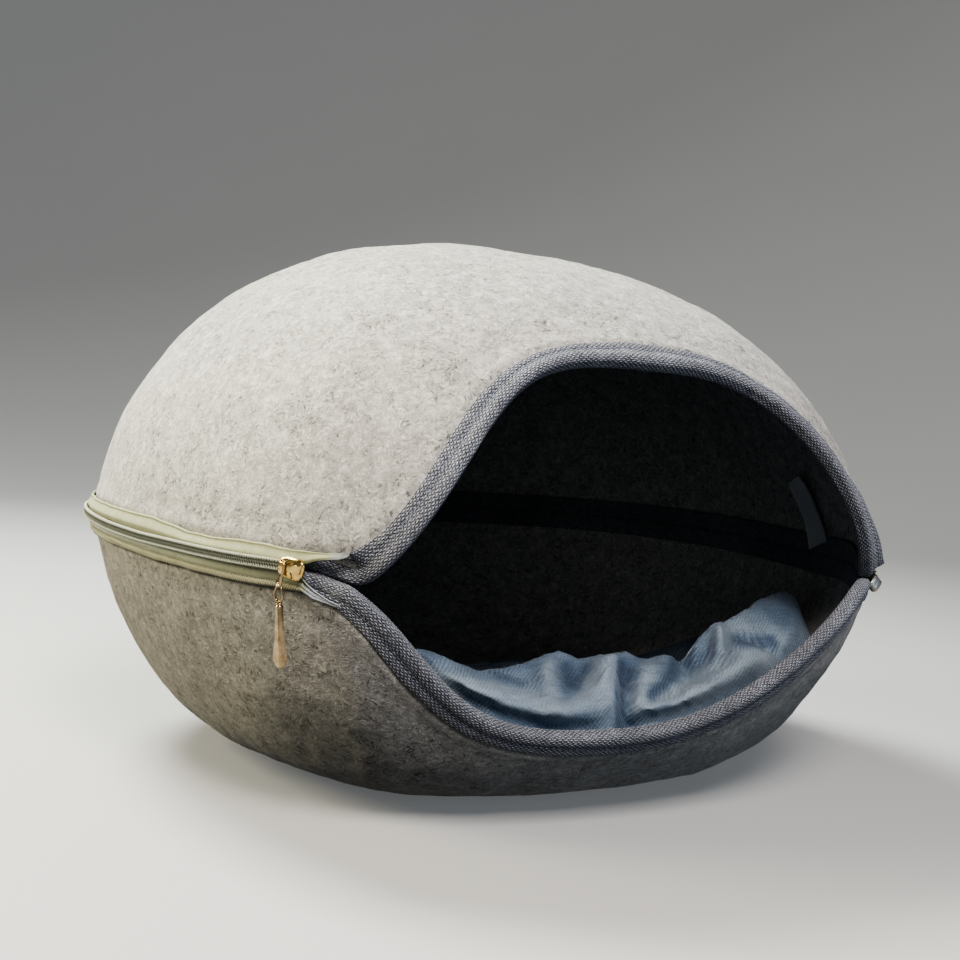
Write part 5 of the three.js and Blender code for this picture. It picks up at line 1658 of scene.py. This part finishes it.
def cushion_piece():
    c = CUSHION
    cols, rows = 400, 118

    def edge_at(ph):
        ry = np.where(np.sin(ph) < 0, c["ry"] + 5.0, c["ry"])
        return np.power(np.power(np.abs(np.cos(ph)) / c["rx"], c["square"]) + np.power(np.abs(np.sin(ph)) / ry, c["square"]), -1 / c["square"])

    def crest(x, y):
        z = c["crown"] + c["ridge"] * np.exp(-(((y + 66) / np.where(y > -66, 50, 34)) ** 2)) * np.exp(-(((x - 10) / 150) ** 6))
        for lx, ly, rx, ry_, h in LUMPS:
            z = z + h * np.exp(-(((x - lx) / rx) ** 2) - (((y - ly) / ry_) ** 2))
        return z - BASE["depth"]

    # the front's measured folds as a correction to the plain crest
    known = [resample(line) for line in FOLD_LINES] + [np.array(FOLD_POINTS), np.array(FOLD_BEHIND), np.array(FOLD_FOOT)]
    known = np.concatenate(known) + [0, MIDDLE_Y, -BASE["depth"]]
    gap = known[:, 2] - crest(known[:, 0], known[:, 1])
    rest = np.array([(x, y) for x in np.arange(-150, 200, 25.0) for y in (20.0, 55.0, 95.0)] + [(-150.0, -40.0), (-160.0, 0.0), (-140, -75), (195.0, 0.0)])
    at = np.concatenate([known[:, :2], rest])
    want = np.concatenate([gap, np.zeros(len(rest))])
    soft = 5.0

    def kernel(p):
        d2 = (p[..., 0, None] - at[:, 0]) ** 2 + (p[..., 1, None] - at[:, 1]) ** 2
        return np.sqrt(d2 + soft * soft)

    M = kernel(at)
    wt = np.linalg.lstsq(M + np.eye(len(at)) * 0.15 * -1.0, want, rcond=1e-9)[0]

    def fold(x, y):
        out = np.empty(x.size)
        xy = np.stack([x.ravel(), y.ravel()], -1)
        for k in range(0, len(xy), 4000):
            out[k:k + 4000] = kernel(xy[k:k + 4000]) @ wt
        return out.reshape(x.shape)

    ph = np.arange(cols) / cols * 2 * PI
    # columns crowd together at the front, where the folds are
    ph = ph + 0.45 * np.cos(ph)
    f = 1 - np.power(np.arange(rows) / rows, 1.1)
    full = edge_at(ph)
    R = full[None, :] * f[:, None]
    x = c["cx"] + R * np.cos(ph)[None, :]
    y = c["cy"] + R * np.sin(ph)[None, :]
    floor = bowl_floor(x, y) + 1.6
    plain = crest(x, y)
    folded = plain + np.clip(fold(x, y), -45, 45)
    small = 0.55 * waves(np.stack([x, y, x * 0], -1), 17.0, 31) + 0.25 * waves(np.stack([x, y, x * 0], -1), 7.5, 32)
    back_w = np.clip((y + 40) / 50, 0, 1)
    small = small + back_w * 1.6 * waves(np.stack([x, y * 0.5, x * 0], -1), 46.0, 33)
    # the front edge rolls down behind the lip
    goal = folded + small - 15.0 * np.exp(-(((1 - f)[:, None] * full[None, :] / 9.0) ** 2)) * np.clip((-40 - y) / 30, 0, 1)
    # rounded edge: a quarter circle in from the outline
    inn = (1 - f)[:, None] * full[None, :]
    rho = 11.0
    k = np.clip(inn / rho, 0, 1)
    arc = np.sqrt(np.maximum(1 - (1 - k) ** 2, 0))
    low = floor + 3.0
    body = np.maximum(goal - low, 9.0)
    zt = low + body * arc
    top = np.stack([x, y, zt], -1)
    # the front bulges and folds: points slide towards the front or away from it
    _, py = seen(top)
    px, _ = seen(top)
    foot_u, foot_v = seen(np.array(FOLD_FOOT) + [0, MIDDLE_Y, -BASE["depth"]])
    above = np.interp(px, foot_u, foot_v) - py
    e1 = np.clip(above / 30.0, 0, 1)
    slide = -9.0 + 14.0 * e1 * e1 * (3 - 2 * e1)
    swell = 1.4 * relief(top)
    slide = slide + swell
    for _ in range(5):
        slide = (np.roll(slide, 1, 1) + 2 * slide + np.roll(slide, -1, 1)) / 4
        slide[1:-1] = (slide[:-2] + 2 * slide[1:-1] + slide[2:]) / 4
    fade = np.clip((-28.0 - y) / 34.0, 0, 1)
    fade = fade * fade * (3 - 2 * fade) * np.clip(inn / 12.0, 0, 1)
    ray = unit(top - back * CAM["dist"])
    ray[..., 2] = 0.0
    top = top - ray * (slide * fade)[..., None]
    # nothing goes through the shell
    top[..., 2] = np.maximum(top[..., 2], bowl_floor(top[..., 0], top[..., 1]) + 3.0)
    low_rows = np.unique(np.linspace(0, rows - 1, 24).astype(int))
    tuck = np.where(np.arange(rows)[:, None] == 0, 1.4, 0.0)
    zb = floor + tuck
    bot = np.stack([x, y, zb], -1)[low_rows]
    cx, cy = np.array([c["cx"]]), np.array([c["cy"]])
    z0 = float(bowl_floor(cx, cy)[0]) + 1.6
    zc = float(zt[-1].mean())
    pts = np.concatenate([top.reshape(-1, 3), [[c["cx"], c["cy"], zc]], bot.reshape(-1, 3), [[c["cx"], c["cy"], z0]]])
    half = rows * cols + 1
    m2 = len(low_rows)
    fa = grid_faces(rows, cols, ring_m=True)
    fb = grid_faces(m2, cols, ring_m=True, start=half)[:, ::-1]
    j = np.arange(cols)
    j2 = (j + 1) % cols
    lip = np.stack([j2, j, half + j, half + j2], -1)
    tri_a = np.stack([(rows - 1) * cols + j2, np.full(cols, rows * cols), (rows - 1) * cols + j], -1)
    tri_b = np.stack([half + (m2 - 1) * cols + j, np.full(cols, half + m2 * cols), half + (m2 - 1) * cols + j2], -1)
    faces = [np.concatenate([fa, fb, lip]), np.concatenate([tri_a, tri_b])]
    faces = outward(pts, faces)
    # the twill runs with the cloth, so the v coordinate follows the slope
    grad = np.zeros(len(pts))
    slope = zt - (CUSHION["crown"] - BASE["depth"])
    grad[:rows * cols] = slope.reshape(-1)
    # painted shading for the twill's colour: the front folds' relief, lighter on the crests and darker in the valleys
    painted_fold_shading = np.zeros(len(pts))
    painted_fold_shading[:rows * cols] = (swell * fade).reshape(-1)
    uv = np.stack([pts[:, 0], pts[:, 1] * 0.8 + grad * 0.95], -1) / 1000.0
    obj = make("cushion_soft", pts, faces, uv=uv, values={"painted_fold_shading": painted_fold_shading})
    finish_piece(obj, "twill", "twill", "cushion")
    return obj, top


cushion, cushion_top = cushion_piece()


def cushion_fuzz(count, seed):
    g = np.random.default_rng(seed)
    P = cushion_top
    m = P.shape[0]
    du = np.roll(P, -1, 1) - np.roll(P, 1, 1)
    dv = np.gradient(P, axis=0)
    n = unit(np.cross(du, dv))
    n = np.where(n[..., 2:] < 0, -n, n)
    area = np.linalg.norm(np.cross(np.roll(P, -1, 1)[:-1] - P[:-1], P[1:] - P[:-1]), axis=-1)
    area = area * (P[:-1, :, 1] < -28)
    pick = g.choice(area.size, count, p=(area / area.sum()).reshape(-1))
    i, j = np.unravel_index(pick, area.shape)
    j2 = (j + 1) % P.shape[1]
    f, h = g.random(count)[:, None], g.random(count)[:, None]
    p = (P[i, j] * (1 - f) + P[i + 1, j] * f) * (1 - h) + (P[i, j2] * (1 - f) + P[i + 1, j2] * f) * h
    nn = n[i, j]
    d = g.normal(size=(count, 3))
    d = unit(d - nn * (d * nn).sum(-1, keepdims=True)) + nn * g.uniform(0.4, 1.6, count)[:, None]
    needles("cushion_fibres", p - nn * 0.1, d, g.uniform(0.5, 1.4, count), g.uniform(0.025, 0.05, count), "lint", "twill")


cushion_fuzz(10000, 41)


# ------------------------------------------------------- floor, light, camera
def stage_mesh():
    """A round floor that curves up into a wall all the way round."""
    n, turn = 44, 96
    r = np.concatenate([[0.001], np.linspace(150, 1900, 14), np.linspace(2000, 3600, n - 15)])
    z = np.where(r > 1900, 1700 - np.sqrt(np.maximum(1700.0 ** 2 - np.minimum(r - 1900, 1699.9) ** 2, 0)), 0.0)
    # the last rings go straight up
    r = np.concatenate([r, [3600, 3600]])
    z = np.concatenate([z, [2600, 4200]])
    ang = np.arange(turn) / turn * 2 * PI
    pts = np.array([[a * math.cos(t), a * math.sin(t), zz] for a, zz in zip(r, z) for t in ang])
    f = grid_faces(len(r), turn, ring_m=True)
    obj = make("floor", pts, [f], shift=False)
    m, t, b = new_material("pale_floor")
    N = Nodes(t)
    co = N.new("ShaderNodeTexCoord").outputs["Object"]
    nz = N.noise(co, 3.0, 3.0)
    N.link(N.mix(nz, (0.48, 0.48, 0.475, 1), (0.51, 0.51, 0.505, 1)), b.inputs["Base Color"])
    b.inputs["Roughness"].default_value = 0.75
    b.inputs["Specular IOR Level"].default_value = 0.2
    b.inputs["Emission Color"].default_value = (0.93, 0.97, 1.0, 1)
    b.inputs["Emission Strength"].default_value = 0.11
    obj.data.materials.append(m)
    # a black flag under the object: the floor shows, but throws no light back up
    obj.visible_diffuse = False
    obj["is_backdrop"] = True
    return obj


stage_mesh()


def area_light(name, pos, look, size, power, colour):
    d = bpy.data.lights.new(name, "AREA")
    d.shape = "RECTANGLE"
    d.size, d.size_y = size
    d.energy = power
    d.color = colour
    o = bpy.data.objects.new(name, d)
    bpy.context.scene.collection.objects.link(o)
    o.location = pos
    o.rotation_euler = (Vector(look) - Vector(pos)).to_track_quat("-Z", "Y").to_euler()
    return o


area_light("front", (-0.38, -1.20, 1.34), (0.0, 0.0, 0.14), (0.6, 0.6), 24.0, (1.0, 0.925, 0.875))
area_light("left", (-1.25, 0.30, 0.75), (0.0, 0.0, 0.14), (0.6, 0.6), 14.5, (1.0, 0.91, 0.66))
area_light("back", (-0.50, 0.90, 1.60), (0.0, 0.0, 0.14), (0.6, 0.6), 43.0, (0.96, 1.0, 0.96))
area_light("fill", (-0.82, -1.36, 0.34), (0.0, 0.0, 0.14), (0.8, 0.8), 0.9, (1.0, 1.0, 1.0))
area_light("cool", (0.90, -1.20, 0.35), (0.0, 0.0, 0.14), (0.4, 0.4), 2.6, (0.55, 0.72, 1.0))

world = bpy.data.worlds.new("studio")
bpy.context.scene.world = world
world.use_nodes = True
bg = world.node_tree.nodes["Background"]
bg.inputs[0].default_value = (0.88, 0.88, 0.88, 1)
bg.inputs[1].default_value = 0.065

pos = to_object(back * CAM["dist"])
cam_data = bpy.data.cameras.new("view")
cam_data.sensor_width = 36.0
cam_data.lens = CAM["f"] / 960 * 36.0
cam_data.shift_x = -(CAM["px"] - 480) / 960
cam_data.shift_y = (CAM["py"] - 480) / 960
cam_data.clip_start = 0.01
cam_data.clip_end = 50
cam = bpy.data.objects.new("view", cam_data)
bpy.context.scene.collection.objects.link(cam)
cam.matrix_world = Matrix([[rr[0], uu_[0], back[0], pos[0]], [rr[1], uu_[1], back[1], pos[1]], [rr[2], uu_[2], back[2], pos[2]], [0, 0, 0, 1]])
bpy.context.scene.camera = cam
bpy.context.scene.view_settings.view_transform = "AgX"
bpy.context.scene.view_settings.look = "AgX - High Contrast"

total = 0
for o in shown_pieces():
    o.data.calc_loop_triangles()
    k = len(o.data.loop_triangles)
    total += k
    print("piece", o.name, k)
print("triangles in all", total)
